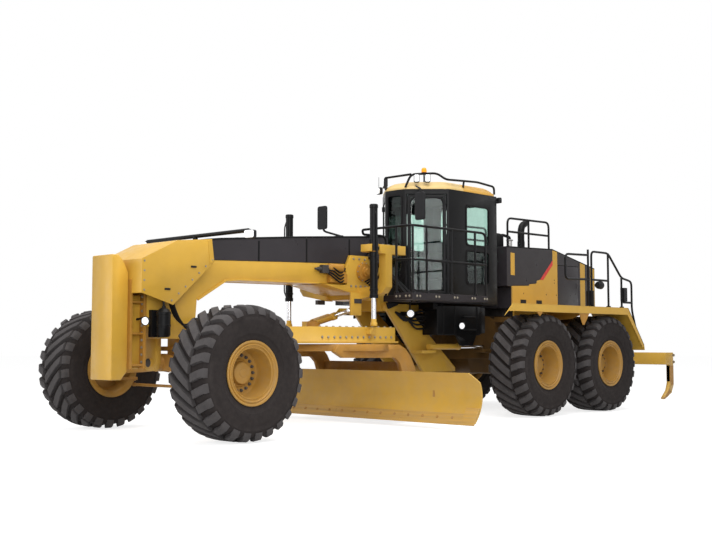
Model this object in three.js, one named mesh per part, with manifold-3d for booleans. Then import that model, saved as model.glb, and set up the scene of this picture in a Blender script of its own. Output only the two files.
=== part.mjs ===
// Motor grader, millimetres, +Z up. The machine faces -Y and its left side is +X.
// Every length below is measured from the front axle, with Y growing towards the rear;
// the whole machine is then moved so that the middle of its length lies at Y = 0.
import * as THREE from "three";
import { ConvexGeometry } from "three/addons/geometries/ConvexGeometry.js";
import { mergeVertices } from "three/addons/utils/BufferGeometryUtils.js";
import Module from "manifold-3d";

const wasm = await Module();
wasm.setup();

// ---------------------------------------------------------------- driving dimensions
const GAP = 0.3; // between pieces that touch
const MACHINE_FRONT = -1105; // push face of the counterweight
const MACHINE_REAR = 12695; // rear of the ripper
const MIDDLE_Y = (MACHINE_FRONT + MACHINE_REAR) / 2;

const TYRE_RADIUS = 972;
const TYRE_HALF_WIDTH = 395;
const TYRE_SIDES = 20;
const WHEEL_Z = TYRE_RADIUS * Math.cos(Math.PI / TYRE_SIDES); // a flat of the tyre lies on the ground
const TRACK_HALF = 1751;
const RIM_BORE = 345;
const HUB_INNER_FACE = -30; // inner face of the wheel disc, from the wheel's middle plane

const LEAN_PIVOT_X = 1130;
const LEAN_PIVOT_Z = 1000;
const LEAN_BAR_Z = 1290;
const KINGPIN_X = 1290;
const AXLE_PIVOT_Z = 1080;
const STEER_ARM_Y = 310;
const STEER_ARM_IN = 60;
const TIE_ROD_X = KINGPIN_X - STEER_ARM_IN;
const TIE_ROD_Y = STEER_ARM_Y - 15;
const TIE_ROD_Z = WHEEL_Z - 255;

const TANDEM_Y = 8236;
const TANDEM_HALF = 1091;
const TANDEM_INNER_X = 1010;
const TANDEM_OUTER_X = 1330;

const HITCH_Y = 6500;
const FRAME_HALF = 340; // half width of the front frame's box beam
const REAR_FRAME_HALF = 430;
const LEG_HALF = 450; // outside of the plates that drop to the lower hitch

const BALL_Y = 450;
const BALL_Z = 1500;
const LIFT_X = 1070;
const LIFT_Y = 3500;
const LIFT_PIVOT_Z = 2980;
const LIFT_STUD_Z = 1660;
// the lift cylinders swing square to the line from the ball
const LIFT_AXIS_TURN = Math.atan2(LIFT_X, LIFT_Y - BALL_Y);
const CIRCLE_Y = 3300;
const CIRCLE_RADIUS = 1230;
const TIP_Y = 3960;
const TIP_Z = 330;
const BLADE_HALF = 3120;

const CAB_FLOOR_Z = 2100;
const CAB_TOP_Z = 4250;
const CAB_WALL = 45;
const DECK_Z = 2110;
const DECK_THICK = 115;
const DECK_REAR_Y = 5970;
const RIGHT_DECK_Y = 5200; // the right walkway starts further back
const RAIL_TOP_Z = 3370;
const RAIL_MIDDLE_Z = 2790;
const RAIL_RADIUS = 22;

const HOOD_HALF = 860;
const STACK_Y = 8740;
const FENDER_TOP_Z = 2083;
const FENDER_PLATE = 12;
const FENDER_OUT_X = 2205;

// ---------------------------------------------------------------- finishes
const finish = (color, roughness, metalness) => new THREE.MeshStandardMaterial(
  { color, roughness, metalness },
);
const yellowPaint = () => finish(0xd6a540, 0.45, 0.1);
const paleYellowPaint = () => finish(0xe0bf7c, 0.45, 0.1);
const darkPaint = () => finish(0x2a2a2c, 0.55, 0.1);
const tyreRubber = () => finish(0x2c2927, 0.9, 0);
const chromeSteel = () => finish(0xc8c8cc, 0.2, 1);
const tintedGlass = () => finish(0x9fbdb2, 0.1, 0);
const seatCloth = () => finish(0x1b1b1d, 0.9, 0);
const castIron = () => finish(0x4a4a4a, 0.7, 0.4);

// ---------------------------------------------------------------- solids
// A closed three.js geometry as a solid that can be joined and cut.
function solid(geometry) {
  const bare = geometry.clone();
  bare.deleteAttribute("normal");
  bare.deleteAttribute("uv");
  const merged = mergeVertices(bare, 1e-3);
  return new wasm.Manifold(
    new wasm.Mesh({
      numProp: 3,
      vertProperties: merged.attributes.position.array,
      triVerts: new Uint32Array(merged.index.array),
    }),
  );
}

const join = (...solids) => solids.reduce((whole, piece) => whole.add(piece));
const cut = (whole, ...tools) => tools.reduce((rest, tool) => rest.subtract(tool), whole);

function geometryOf(whole) {
  const { numProp, vertProperties, triVerts } = whole.getMesh();
  const geometry = new THREE.BufferGeometry();
  geometry.setAttribute(
    "position",
    new THREE.BufferAttribute(new Float32Array(vertProperties), numProp),
  );
  geometry.setIndex(new THREE.BufferAttribute(new Uint32Array(triVerts), 1));
  geometry.computeVertexNormals();
  return geometry;
}

// A block between two X, two Y and two Z values.
function block(x0, x1, y0, y1, z0, z1) {
  const geometry = new THREE.BoxGeometry(x1 - x0, y1 - y0, z1 - z0);
  return solid(geometry.translate((x0 + x1) / 2, (y0 + y1) / 2, (z0 + z1) / 2));
}

function extruded(outline, depth) {
  const shape = new THREE.Shape(outline.map(([u, v]) => new THREE.Vector2(u, v)));
  return new THREE.ExtrudeGeometry(shape, { depth, bevelEnabled: false });
}

// Plates: an outline in the plane across X (points y, z), across Y (points x, z) or across Z (points x, y).

function plateX(outline, x0, x1) {
  const turn = new THREE.Matrix4().makeBasis(
    new THREE.Vector3(0, 1, 0),
    new THREE.Vector3(0, 0, 1),
    new THREE.Vector3(1, 0, 0),
  );
  return solid(extruded(outline, x1 - x0).applyMatrix4(turn).translate(x0, 0, 0));
}

function plateY(outline, y0, y1) {
  const turn = new THREE.Matrix4().makeBasis(
    new THREE.Vector3(1, 0, 0),
    new THREE.Vector3(0, 0, 1),
    new THREE.Vector3(0, -1, 0),
  );
  return solid(extruded(outline, y1 - y0).applyMatrix4(turn).translate(0, y1, 0));
}

function plateZ(outline, z0, z1) {
  return solid(extruded(outline, z1 - z0).translate(0, 0, z0));
}

// A round bar from one point to another.
function bar(from, to, radius, sides = 12) {
  const a = new THREE.Vector3(...from);
  const b = new THREE.Vector3(...to);
  const along = b.clone().sub(a);
  const geometry = new THREE.CylinderGeometry(radius, radius, along.length(), sides);
  const turn = new THREE.Quaternion().setFromUnitVectors(
    new THREE.Vector3(0, 1, 0), along.clone().normalize(),
  );
  geometry.applyQuaternion(turn);
  const middle = a.add(b).multiplyScalar(0.5);
  return solid(geometry.translate(middle.x, middle.y, middle.z));
}

const disc = (axis, centre, radius, half, sides = 16) => {
  const step = [axis === "x" ? half : 0, axis === "y" ? half : 0, axis === "z" ? half : 0];
  return bar(
    centre.map((v, i) => v - step[i]),
    centre.map((v, i) => v + step[i]),
    radius,
    sides,
  );
};

// A railing of thin square-section bars through a list of points, run a little past each corner.
function railing(...runs) {
  const pieces = [];
  for (const points of runs)
    for (let i = 0; i + 1 < points.length; i++) {
      const a = new THREE.Vector3(...points[i]);
      const b = new THREE.Vector3(...points[i + 1]);
      const past = b.clone().sub(a).setLength(RAIL_RADIUS * 0.6);
      pieces.push(bar(a.sub(past).toArray(), b.add(past).toArray(), RAIL_RADIUS, 4));
    }
  return join(...pieces);
}

// A turned solid about the X axis with a flat underneath; the profile lists (x, radius) with x rising.
function turnedX(profile, sides) {
  const points = profile.map(([x, r]) => new THREE.Vector2(r, x));
  const lathe = new THREE.LatheGeometry(points, sides).rotateZ(-Math.PI / 2);
  return solid(lathe.rotateX(Math.PI / sides));
}

function mirrored(whole) {
  const { numProp, vertProperties, triVerts } = whole.getMesh();
  const flipped = new Float32Array(vertProperties);
  for (let i = 0; i < flipped.length; i += numProp) flipped[i] = -flipped[i];
  const turned = new Uint32Array(triVerts);
  for (let i = 0; i < turned.length; i += 3) [turned[i + 1], turned[i + 2]] = [turned[i + 2], turned[i + 1]];
  return new wasm.Manifold(new wasm.Mesh({ numProp: 3, vertProperties: flipped, triVerts: turned }));
}

const bothSides = (whole) => join(whole, mirrored(whole));
const mirrorPoints = (points) => points.map(([x, ...rest]) => [-x, ...rest]).reverse();

// ---------------------------------------------------------------- scene graph
const machine = new THREE.Group();
machine.position.y = -MIDDLE_Y;

function add(name, whole, material, position = [0, 0, 0]) {
  const mesh = new THREE.Mesh(geometryOf(whole), material);
  mesh.name = name;
  mesh.position.set(...position);
  machine.add(mesh);
}

// Adds NAME_left from a solid made for the left side, and its mirror image as NAME_right.
function addPair(name, whole, makeMaterial, position = [0, 0, 0]) {
  add(name + "_left", whole, makeMaterial(), position);
  add(name + "_right", mirrored(whole), makeMaterial(), [-position[0], position[1], position[2]]);
}

// ---------------------------------------------------------------- front frame
function mainFrame() {
  const beam = plateX(
    [
      [-555, 1640], [-300, 1440], [300, 1440], [344, 2031], [881, 2343], [1180, 2371], [3400, 2388],
      [4260, 2388], [4460, 1950], [5050, 1950], [5050, 2080], [4640, 2080], [4640, 2750], [3530, 2748],
      [2470, 2718], [500, 2650], [-150, 2600], [-555, 2400],
    ],
    -FRAME_HALF,
    FRAME_HALF,
  );
  const lug = [[-150, 1445], [-150, 1080], [-90, 960], [90, 960], [150, 1080], [150, 1445]];
  const lugs = join(plateY(lug, -260, -165), plateY(lug, 165, 260));
  const axlePin = disc("y", [0, 0, AXLE_PIVOT_Z], 70, 290);
  const ballSocket = join(block(-110, 110, 280, 400, 1400, 1640), disc("y", [0, 395, BALL_Z], 60, 12));
  const shoulder = block(-LEG_HALF, LEG_HALF, 4480, 5050, 1950, 2080);
  const upperArm = join(
    block(-300, 300, 4900, HITCH_Y - 60, 1950, 2080),
    disc("z", [0, HITCH_Y, 2015], 230, 65),
  );
  const legSide = [
    [4480, 2080], [4480, 1990], [5480, 850], [5480, 830], [6420, 830], [6420, 900], [5050, 2010],
    [5050, 2080],
  ];
  const legs = bothSides(plateX(legSide, LEG_HALF - 60, LEG_HALF));
  const lowerPlate = join(
    plateZ(
      [
        [-LEG_HALF, 5500], [LEG_HALF, 5500], [LEG_HALF, 6200], [210, 6560], [-210, 6560],
        [-LEG_HALF, 6200],
      ],
      830,
      950,
    ),
    disc("z", [0, HITCH_Y, 890], 220, 60),
  );
  const hitchPins = join(disc("z", [0, HITCH_Y, 1930], 60, 80), disc("z", [0, HITCH_Y, 970], 60, 80));
  const cylinderLugs = bothSides(block(LEG_HALF - 10, 700, 5405, 5560, 1180, 1235));
  const cylinderPosts = bothSides(
    plateX([[5160, 1235], [5160, 1180], [5560, 1180], [5560, 1235]], LEG_HALF - 10, 700),
  );
  return join(
    beam, lugs, axlePin, ballSocket, shoulder, upperArm, legs, lowerPlate, hitchPins, cylinderLugs,
    cylinderPosts,
  );
}

function counterweight() {
  const face = plateX(
    [
      [MACHINE_FRONT, 844], [-930, 844], [-830, 965], [-830, 2395], [-912, 2560], [-1000, 2654],
      [MACHINE_FRONT, 2654],
    ],
    -270,
    270,
  );
  const spine = block(-220, 220, -835, -555 - GAP, 1000, 2080);
  return join(face, spine);
}

function noseCover() {
  const outside = [[-815, 2100], [-260, 1935], [490, 2610], [440, 2955], [-190, 2895], [-815, 2590]];
  const inside = [[-795, 1600], [900, 1600], [900, 2935], [435, 2935], [-186, 2873], [-795, 2576]];
  return cut(plateX(outside, -580, 580), plateX(inside, -560, 560));
}

// The long dark cover over the frame, with the front lights on their cross tube.
function frameCover() {
  const side = [
    [500, 2650 + GAP], [2470, 2718 + GAP], [3530, 2748 + GAP], [4640, 2750 + GAP],
    [4640, 3320], [2470, 3155], [780, 3010], [500, 2985],
  ];
  const cover = plateX(side, -352, 352);
  const tube = bar([-1360, 560, 3045], [1360, 560, 3045], 26, 8);
  const bracket = block(-70, 70, 520, 600, 2960, 3050);
  const lights = bothSides(block(1290, 1440, 490, 600, 2925, 3035));
  return join(cover, tube, bracket, lights);
}

// The saddle clamped round the frame: it carries the yokes of both lift cylinders.
function liftSaddle() {
  const underside = plateX(
    [[2950, 2375], [3500, 2260], [3780, 2215], [3860, 2140], [4250, 2130], [4250, 2375]],
    -430,
    430,
  );
  const cheeks = bothSides(
    plateX(
      [[3500, 2300], [4250, 2300], [4250, 2700], [4100, 2900], [3600, 2900], [3500, 2700]],
      FRAME_HALF + 15,
      430,
    ),
  );
  const arm = plateY(
    [
      [380, 2120], [700, 2180], [1000, 2230], [1085, 2330], [1085, 2960], [930, 2960], [930, 2420],
      [880, 2360], [380, 2330],
    ],
    3780,
    3940,
  );
  const cap = block(905, 1085, 3600, 4290, 2900, 3055);
  const yokeWeb = block(895, 950, 3365, 3640, 2920, 3040);
  const yokeCheeks = join(
    block(895, 1125, 3365, 3402, 2920, 3040),
    block(895, 1125, 3598, 3640, 2920, 3040),
  );
  const shiftLug = block(430, 485, 3560, 3800, 1850, 2250);
  const room = join(
    plateX(
      [
        [2900, 2388 - GAP], [4260 + GAP, 2388 - GAP], [4460, 1950 - GAP], [4700, 1900], [4700, 3400],
        [2900, 3400],
      ],
      -FRAME_HALF - GAP,
      FRAME_HALF + GAP,
    ),
    block(-352 - GAP, 352 + GAP, 2900, 4700, 2735, 3400),
  );
  return cut(
    join(
      underside, cheeks, bothSides(arm), bothSides(cap), bothSides(yokeWeb), bothSides(yokeCheeks),
      shiftLug,
    ),
    room,
  );
}

// Tanks hung on both sides of the hitch, outside the articulation cylinders.
function bellyTank() {
  const tank = plateX([[5450, 1520], [6740, 1520], [6740, 2060], [5450, 2060]], LEG_HALF + 15, 820);
  const outer = plateX(
    [[6000, 1530], [6150, 1320], [6500, 1320], [6620, 1530], [6880, 1560], [6880, 2050], [6000, 2050]],
    775,
    820,
  );
  const bridge = block(-820, 820, 5800, 5950, 1650, 1900);
  return join(bothSides(join(tank, outer)), bridge);
}

// ---------------------------------------------------------------- cab
// Plan of the cab: a narrow front, doors slanting out to the middle posts, then sides running back.
const CAB_PLAN = [[240, 5200], [850, 5780], [830, 7280]];
const DOOR_START = 52; // along the slanted face, from the front post
const DOOR_END = 795;
const DOOR_BOTTOM_Z = 2245;
const DOOR_TOP_Z = 4150;

// The cab's plan moved inwards by a distance, as a closed outline.
function cabPlan(inset) {
  const [front, middle, rear] = CAB_PLAN;
  const slant = Math.hypot(middle[0] - front[0], middle[1] - front[1]);
  const slantIn = [-(middle[1] - front[1]) / slant, (middle[0] - front[0]) / slant];
  const side = Math.hypot(rear[0] - middle[0], rear[1] - middle[1]);
  const sideIn = [-(rear[1] - middle[1]) / side, (rear[0] - middle[0]) / side];
  const meet = (p, n, q, m) => {
    const a = n[0] * (p[0] + n[0] * inset) + n[1] * (p[1] + n[1] * inset);
    const b = m[0] * (q[0] + m[0] * inset) + m[1] * (q[1] + m[1] * inset);
    const det = n[0] * m[1] - n[1] * m[0];
    return [(a * m[1] - b * n[1]) / det, (n[0] * b - m[0] * a) / det];
  };
  const left = [
    meet(front, [0, 1], front, slantIn),
    meet(middle, slantIn, middle, sideIn),
    meet(rear, sideIn, rear, [0, -1]),
  ];
  return [...left, ...mirrorPoints(left)];
}

// A block standing on the left slanted face: s runs along it from the front post, depth runs inwards.
function slantBlock(s0, s1, depth0, depth1, z0, z1) {
  const [front, middle] = CAB_PLAN;
  const angle = Math.atan2(middle[1] - front[1], middle[0] - front[0]);
  const geometry = new THREE.BoxGeometry(s1 - s0, depth1 - depth0, z1 - z0)
    .translate((s0 + s1) / 2, (depth0 + depth1) / 2, (z0 + z1) / 2)
    .rotateZ(angle)
    .translate(front[0], front[1], 0);
  return solid(geometry);
}

// A block standing on the left rear face of the cab, in the same way.
function sideBlock(s0, s1, depth0, depth1, z0, z1) {
  const [, middle, rear] = CAB_PLAN;
  const angle = Math.atan2(rear[1] - middle[1], rear[0] - middle[0]);
  const geometry = new THREE.BoxGeometry(s1 - s0, depth1 - depth0, z1 - z0)
    .translate((s0 + s1) / 2, (depth0 + depth1) / 2, (z0 + z1) / 2)
    .rotateZ(angle)
    .translate(middle[0], middle[1], 0);
  return solid(geometry);
}

function cabShell() {
  const walls = cut(
    plateZ(cabPlan(0), CAB_FLOOR_Z, CAB_TOP_Z),
    plateZ(cabPlan(CAB_WALL), CAB_FLOOR_Z + 60, CAB_TOP_Z + 100),
  );
  const doorways = bothSides(slantBlock(DOOR_START, DOOR_END, -60, 70, DOOR_BOTTOM_Z, DOOR_TOP_Z));
  const frontWindow = block(-180, 180, 5150, 5300, 2480, 4150);
  const sideWindows = bothSides(sideBlock(520, 1240, -60, 90, 3230, 3990));
  const lowerWindows = bothSides(sideBlock(520, 1240, -60, 90, 2480, 3130));
  const rearWindow = block(-620, 620, 7180, 7380, 2960, 4100);
  const console = join(
    block(-560, -330, 6180, 6700, 2150, 2900),
    block(330, 560, 6180, 6700, 2150, 2900),
    block(-130, 130, 5260, 5420, 2150, 3050),
  );
  return join(cut(walls, doorways, frontWindow, sideWindows, lowerWindows, rearWindow), console);
}

// The fixed panes, held by one band of glass under the roof edge.
function cabGlass() {
  const pane = cut(
    plateZ(cabPlan(CAB_WALL + GAP), 2400, 4200),
    plateZ(cabPlan(CAB_WALL + 8), 2300, 4300),
  );
  const doorGap = bothSides(slantBlock(DOOR_START - 20, DOOR_END + 30, -60, 200, 2300, DOOR_TOP_Z + 8));
  const postGap = bothSides(slantBlock(DOOR_END + 25, 1400, -60, 300, 2300, 2900));
  const lowRear = block(-780, 780, 7100, 7400, 2300, 2900);
  return cut(pane, doorGap, lowRear, postGap.intersect(block(-2000, 2000, 5000, 5810, 0, 5000)));
}

function cabDoor() {
  const leaf = slantBlock(DOOR_START + 8, DOOR_END - 8, 0, CAB_WALL, DOOR_BOTTOM_Z + 8, DOOR_TOP_Z - 8);
  const window = slantBlock(
    DOOR_START + 60, DOOR_END - 60, -40, 90, DOOR_BOTTOM_Z + 90, DOOR_TOP_Z - 60,
  );
  const handle = slantBlock(DOOR_START + 22, DOOR_START + 46, -32, 5, 2950, 3250);
  return join(cut(leaf, window), handle);
}

// Domed roof with its guard rail, beacon, work lights and the mirror on the left.
function cabRoof() {
  const corners = (points) =>
    [...points, ...mirrorPoints(points)].map((point) => new THREE.Vector3(...point));
  const eaves = (z) => corners(CAB_PLAN.map(([x, y]) => [x, y, z]));
  const crown = corners([[220, 5430, 4450], [640, 5840, 4455], [650, 6750, 4465], [600, 7120, 4390]]);
  const dome = solid(
    new ConvexGeometry([...eaves(CAB_TOP_Z + GAP), ...eaves(CAB_TOP_Z + 35), ...crown]),
  );
  const sideTube = [
    [250, 5225, 4285], [326, 5300, 4530], [680, 5640, 4550], [795, 5745, 4430],
    [825, 6200, 4450], [822, 6670, 4475], [812, 7220, 4440], [800, 7240, 4290],
  ];
  const sidePost = [[824, 6260, 4452], [790, 6260, 4285]];
  const hoop = railing(
    sideTube,
    mirrorPoints(sideTube),
    [[326, 5300, 4530], [-326, 5300, 4530]],
    sidePost,
    mirrorPoints(sidePost),
  );
  const beacon = bar([503, 5470, 4540], [503, 5470, 4660], 60, 10);
  const lamps = bothSides(
    join(block(354, 454, 5325, 5425, 4370, 4530), block(503, 603, 5468, 5568, 4370, 4535)),
  );
  const mirrorArm = railing(
    [[420, 5420, 4280], [700, 5000, 4240], [955, 4850, 4150], [955, 4850, 4040]],
  );
  const mirror = join(block(830, 1060, 4820, 4880, 3580, 4090), mirrorArm);
  return join(dome, hoop, beacon, lamps, mirror);
}

function operatorSeat() {
  const pedestal = block(-200, 200, 6300, 6720, CAB_FLOOR_Z + 60 + GAP, 2620);
  const cushion = block(-270, 270, 6190, 6790, 2600, 2760);
  const backrest = plateX([[6640, 2740], [6800, 2740], [6930, 3480], [6830, 3500]], -260, 260);
  return join(pedestal, cushion, backrest);
}

// The walkway round the cab with its railings, and the mirror on the right.
function cabPlatform() {
  const leftFront = [[430, 4700], [430, 4420], [1180, 4420], [1180, 3880], [1600, 3880]];
  const rightFront = [[-1600, RIGHT_DECK_Y], [-1180, RIGHT_DECK_Y], [-1180, 5000], [-430, 4700]];
  const besideCab = [[1600, DECK_REAR_Y], [880, DECK_REAR_Y], [880, 5781], [262, 5172]];
  const deck = plateZ(
    [...leftFront, ...besideCab, ...mirrorPoints(besideCab), ...rightFront],
    DECK_Z,
    DECK_Z + DECK_THICK,
  );
  const edgeX = 1570;
  const endY = DECK_REAR_Y - 30;
  const post = (x, y) => [[x, y, DECK_Z + 40], [x, y, RAIL_TOP_Z]];
  const leftRail = railing(
    [[edgeX, 3910, RAIL_TOP_Z], [edgeX, endY, RAIL_TOP_Z]],
    [[1215, 3910, RAIL_MIDDLE_Z], [edgeX, 3910, RAIL_MIDDLE_Z], [edgeX, endY, RAIL_MIDDLE_Z]],
    [
      [edgeX, 3910, RAIL_TOP_Z], [402, 3910, RAIL_TOP_Z], [402, 3930, 3290], [470, 4450, 3290],
      [470, 4450, DECK_Z + 40],
    ],
    ...[3910, 4290, 4960, 5630, endY].map((y) => post(edgeX, y)),
    post(1215, 3910),
  );
  const rightRail = railing(
    [[-1215, 5230, RAIL_TOP_Z], [-edgeX, 5230, RAIL_TOP_Z], [-edgeX, endY, RAIL_TOP_Z]],
    [[-1215, 5230, RAIL_MIDDLE_Z], [-edgeX, 5230, RAIL_MIDDLE_Z], [-edgeX, endY, RAIL_MIDDLE_Z]],
    ...[5230, endY].map((y) => post(-edgeX, y)),
    post(-1215, 5230),
  );
  const mirrorArm = railing(
    [[-470, 4720, DECK_Z + 40], [-470, 4620, 3290], [-1005, 4300, 3480], [-1005, 4300, 3620]],
  );
  const mirror = join(block(-1150, -900, 4270, 4330, 3510, 3960), mirrorArm);
  return join(deck, leftRail, rightRail, mirror);
}

// ---------------------------------------------------------------- front axle
function axleBeam() {
  const half = [
    [0, 1215], [210, 1200], [700, 1120], [1060, 1095], [1195, 1040], [1195, 960], [1060, 905],
    [700, 915], [260, 950], [0, 950],
  ];
  const outline = [...half, ...half.slice(1, -1).map(([x, z]) => [-x, z]).reverse()];
  const beam = plateY(outline, -84, 84);
  const boss = join(disc("y", [0, 0, AXLE_PIVOT_Z], 135, 158), beam);
  const pinBore = disc("y", [0, 0, AXLE_PIVOT_Z], 76, 400);
  return cut(boss, pinBore);
}

// Carries the kingpin and leans on the axle's end about a fore-and-aft pin.
function leanHousing() {
  const cheek = [
    [1068, 945], [1100, 900], [1250, 880], [1250, 1110], [1200, 1130], [1185, 1320], [1130, 1345],
    [1080, 1320], [1068, 1050],
  ];
  const cheeks = join(plateY(cheek, -132, -92), plateY(cheek, 92, 132));
  const boss = join(
    disc("z", [KINGPIN_X, 0, WHEEL_Z], 85, 126),
    block(1212, KINGPIN_X, -132, 132, 880, 1080),
  );
  const web = block(1212, 1250, -132, 132, 880, 1110);
  const earRoom = join(
    disc("z", [KINGPIN_X, 0, WHEEL_Z + 190], 98, 64),
    disc("z", [KINGPIN_X, 0, WHEEL_Z - 190], 98, 64),
  );
  const flank = join(
    block(KINGPIN_X - 40, 1500, -200, -86, 700, 1400),
    block(KINGPIN_X - 40, 1500, 86, 200, 700, 1400),
  );
  return cut(join(cheeks, boss, web), earRoom, flank);
}

function leanBar() {
  const end = LEAN_PIVOT_X;
  const tube = bar([-end, 0, LEAN_BAR_Z], [end, 0, LEAN_BAR_Z], 34, 12);
  const eyes = bothSides(disc("y", [end, 0, LEAN_BAR_Z], 48, 84, 12));
  return join(tube, eyes);
}

// Fork round the kingpin boss, with the wheel spindle outside and the steering arm behind.
function knuckle() {
  const web = 1392;
  const upper = join(
    disc("z", [KINGPIN_X, 0, WHEEL_Z + 156], 88, 24),
    block(KINGPIN_X, web + 40, -88, 88, WHEEL_Z + 132, WHEEL_Z + 180),
  );
  const lower = join(
    disc("z", [KINGPIN_X, 0, WHEEL_Z - 156], 88, 24),
    block(KINGPIN_X, web + 40, -88, 88, WHEEL_Z - 180, WHEEL_Z - 132),
  );
  const plate = block(web, web + 40, -88, 88, WHEEL_Z - 180, WHEEL_Z + 180);
  const spindle = bar([web + 20, 0, WHEEL_Z], [TRACK_HALF + HUB_INNER_FACE - 1, 0, WHEEL_Z], 90, 14);
  const eyeX = KINGPIN_X - STEER_ARM_IN;
  const arm = plateZ(
    [
      [KINGPIN_X + 60, 0], [KINGPIN_X + 20, 60], [eyeX + 38, STEER_ARM_Y + 20],
      [eyeX - 38, STEER_ARM_Y + 20], [KINGPIN_X - 60, 40], [KINGPIN_X - 60, 0],
    ],
    WHEEL_Z - 180,
    WHEEL_Z - 132,
  );
  const stud = disc("z", [eyeX, TIE_ROD_Y, WHEEL_Z - 188], 20, 10, 8);
  return join(upper, lower, plate, spindle, arm, stud);
}

// Fork that turns under the left steering arm and lets the tie rod stay level when the wheels lean.
function tieRodEnd() {
  const part = (y0, y1, z0, z1) =>
    block(
      TIE_ROD_X - 28, TIE_ROD_X + 28, TIE_ROD_Y + y0, TIE_ROD_Y + y1, TIE_ROD_Z + z0, TIE_ROD_Z + z1,
    );
  return join(part(-45, 45, 40, 51), part(-45, -31, -34, 45), part(31, 45, -34, 45));
}

function tieRod() {
  const tube = bar([-TIE_ROD_X, TIE_ROD_Y, TIE_ROD_Z], [TIE_ROD_X, TIE_ROD_Y, TIE_ROD_Z], 24, 8);
  const eyes = bothSides(disc("y", [TIE_ROD_X, TIE_ROD_Y, TIE_ROD_Z], 30, 24, 10));
  return join(tube, eyes);
}

// ---------------------------------------------------------------- wheels
function tyre() {
  const half = [
    [318, 372], [318, 457.3], [382, 600], [TYRE_HALF_WIDTH, 760], [335, 930], [150, TYRE_RADIUS],
  ];
  const ring = [...half, ...half.map(([x, r]) => [-x, r]).reverse()].reverse();
  return turnedX([...ring, ring[0]], TYRE_SIDES);
}

// Deep rim whose disc and hub lie well inside, seen from the outer side.
function rim() {
  return turnedX(
    [
      [HUB_INNER_FACE, 0], [HUB_INNER_FACE, RIM_BORE], [-338, RIM_BORE + 8], [-338, 455],
      [-318.3, 455], [-318.3, 371.7], [318.3, 371.7], [318.3, 455], [338, 455],
      [338, RIM_BORE + 8], [25, RIM_BORE - 5], [25, 235], [110, 150], [110, 0],
    ],
    TYRE_SIDES,
  );
}

function addWheel(place, x, y) {
  const flip = x < 0 ? mirrored : (whole) => whole;
  add("tyre_" + place, flip(tyre()), tyreRubber(), [x, y, WHEEL_Z]);
  add("rim_" + place, flip(rim()), yellowPaint(), [x, y, WHEEL_Z]);
}

// ---------------------------------------------------------------- blade group
function drawbarBall() {
  return join(
    disc("y", [0, BALL_Y, BALL_Z], 105, 36),
    block(-60, 60, BALL_Y, BALL_Y + 110, BALL_Z - 60, BALL_Z + 60),
  );
}

function drawbar() {
  const z0 = 1400;
  const z1 = 1640;
  const nose = plateZ([[-130, 640], [130, 640], [130, 600 + 260], [-130, 600 + 260]], z0, z1);
  const fork = bothSides(block(68, 130, BALL_Y + 50, 700, BALL_Z - 90, BALL_Z + 90));
  const leg = plateZ(
    [[20, 780], [190, 780], [960, 2250], [960, 4150], [800, 4150], [800, 2300], [20, 830]],
    z0,
    z1,
  );
  const flange = plateZ(
    [[20, 780], [230, 780], [1010, 2240], [1010, 4180], [760, 4180], [760, 2330], [20, 880]],
    z0 - 30,
    z0 + 1,
  );
  const crossFront = plateZ([[-840, 2150], [840, 2150], [840, 2420], [-840, 2420]], z0, z1 - 40);
  const crossRear = block(-850, 850, 3960, 4150, z0, z1 - 40);
  const spine = block(-260, 260, 2400, 4000, z0, z1 - 110);
  const hub = disc("z", [0, CIRCLE_Y, z0 + 40], 420, 70, 20);
  const studs = bothSides(
    join(
      block(940, 1050, LIFT_Y - 70, LIFT_Y + 70, 1520, 1600),
      disc("z", [LIFT_X - 45, LIFT_Y, 1600], 42, 22, 10),
    ),
  );
  const shiftSeat = block(-960, -620, 3545, 3755, 1580, 1612);
  const shiftLugs = join(
    block(-770, -640, 3545, 3570, 1600, 1760),
    block(-770, -640, 3730, 3755, 1600, 1760),
  );
  return join(
    nose, fork, bothSides(leg), bothSides(flange), crossFront, crossRear, spine, hub, studs, shiftSeat,
    shiftLugs,
  );
}

// Toothed ring below the drawbar, with two arms reaching down behind the blade.
function circle() {
  const ringTop = 1352;
  const ringBottom = 1240;
  const ring = cut(
    disc("z", [0, CIRCLE_Y, (ringTop + ringBottom) / 2], CIRCLE_RADIUS, (ringTop - ringBottom) / 2, 32),
    disc("z", [0, CIRCLE_Y, 1300], CIRCLE_RADIUS - 190, 200, 32),
  );
  const hubPlate = join(
    block(-CIRCLE_RADIUS + 80, CIRCLE_RADIUS - 80, CIRCLE_Y - 130, CIRCLE_Y + 130, 1250, 1300),
    block(-130, 130, CIRCLE_Y - 1150, CIRCLE_Y + 1150, 1250, 1300),
  );
  const side = [
    [2560, 1230], [2640, 1345], [4130, 1345], [4290, 1270], [4410, 1150], [4500, 1000], [4580, 800],
    [4640, 480], [4560, 250], [4180, 250], [4150, 560], [4200, 860], [4140, 1020], [4020, 1120],
    [2760, 1130],
  ];
  const arms = bothSides(plateX(side, 1000, 1090));
  const brace = block(-1010, 1010, 4330, 4440, 880, 1040);
  return join(ring, hubPlate, arms, brace);
}

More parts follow.
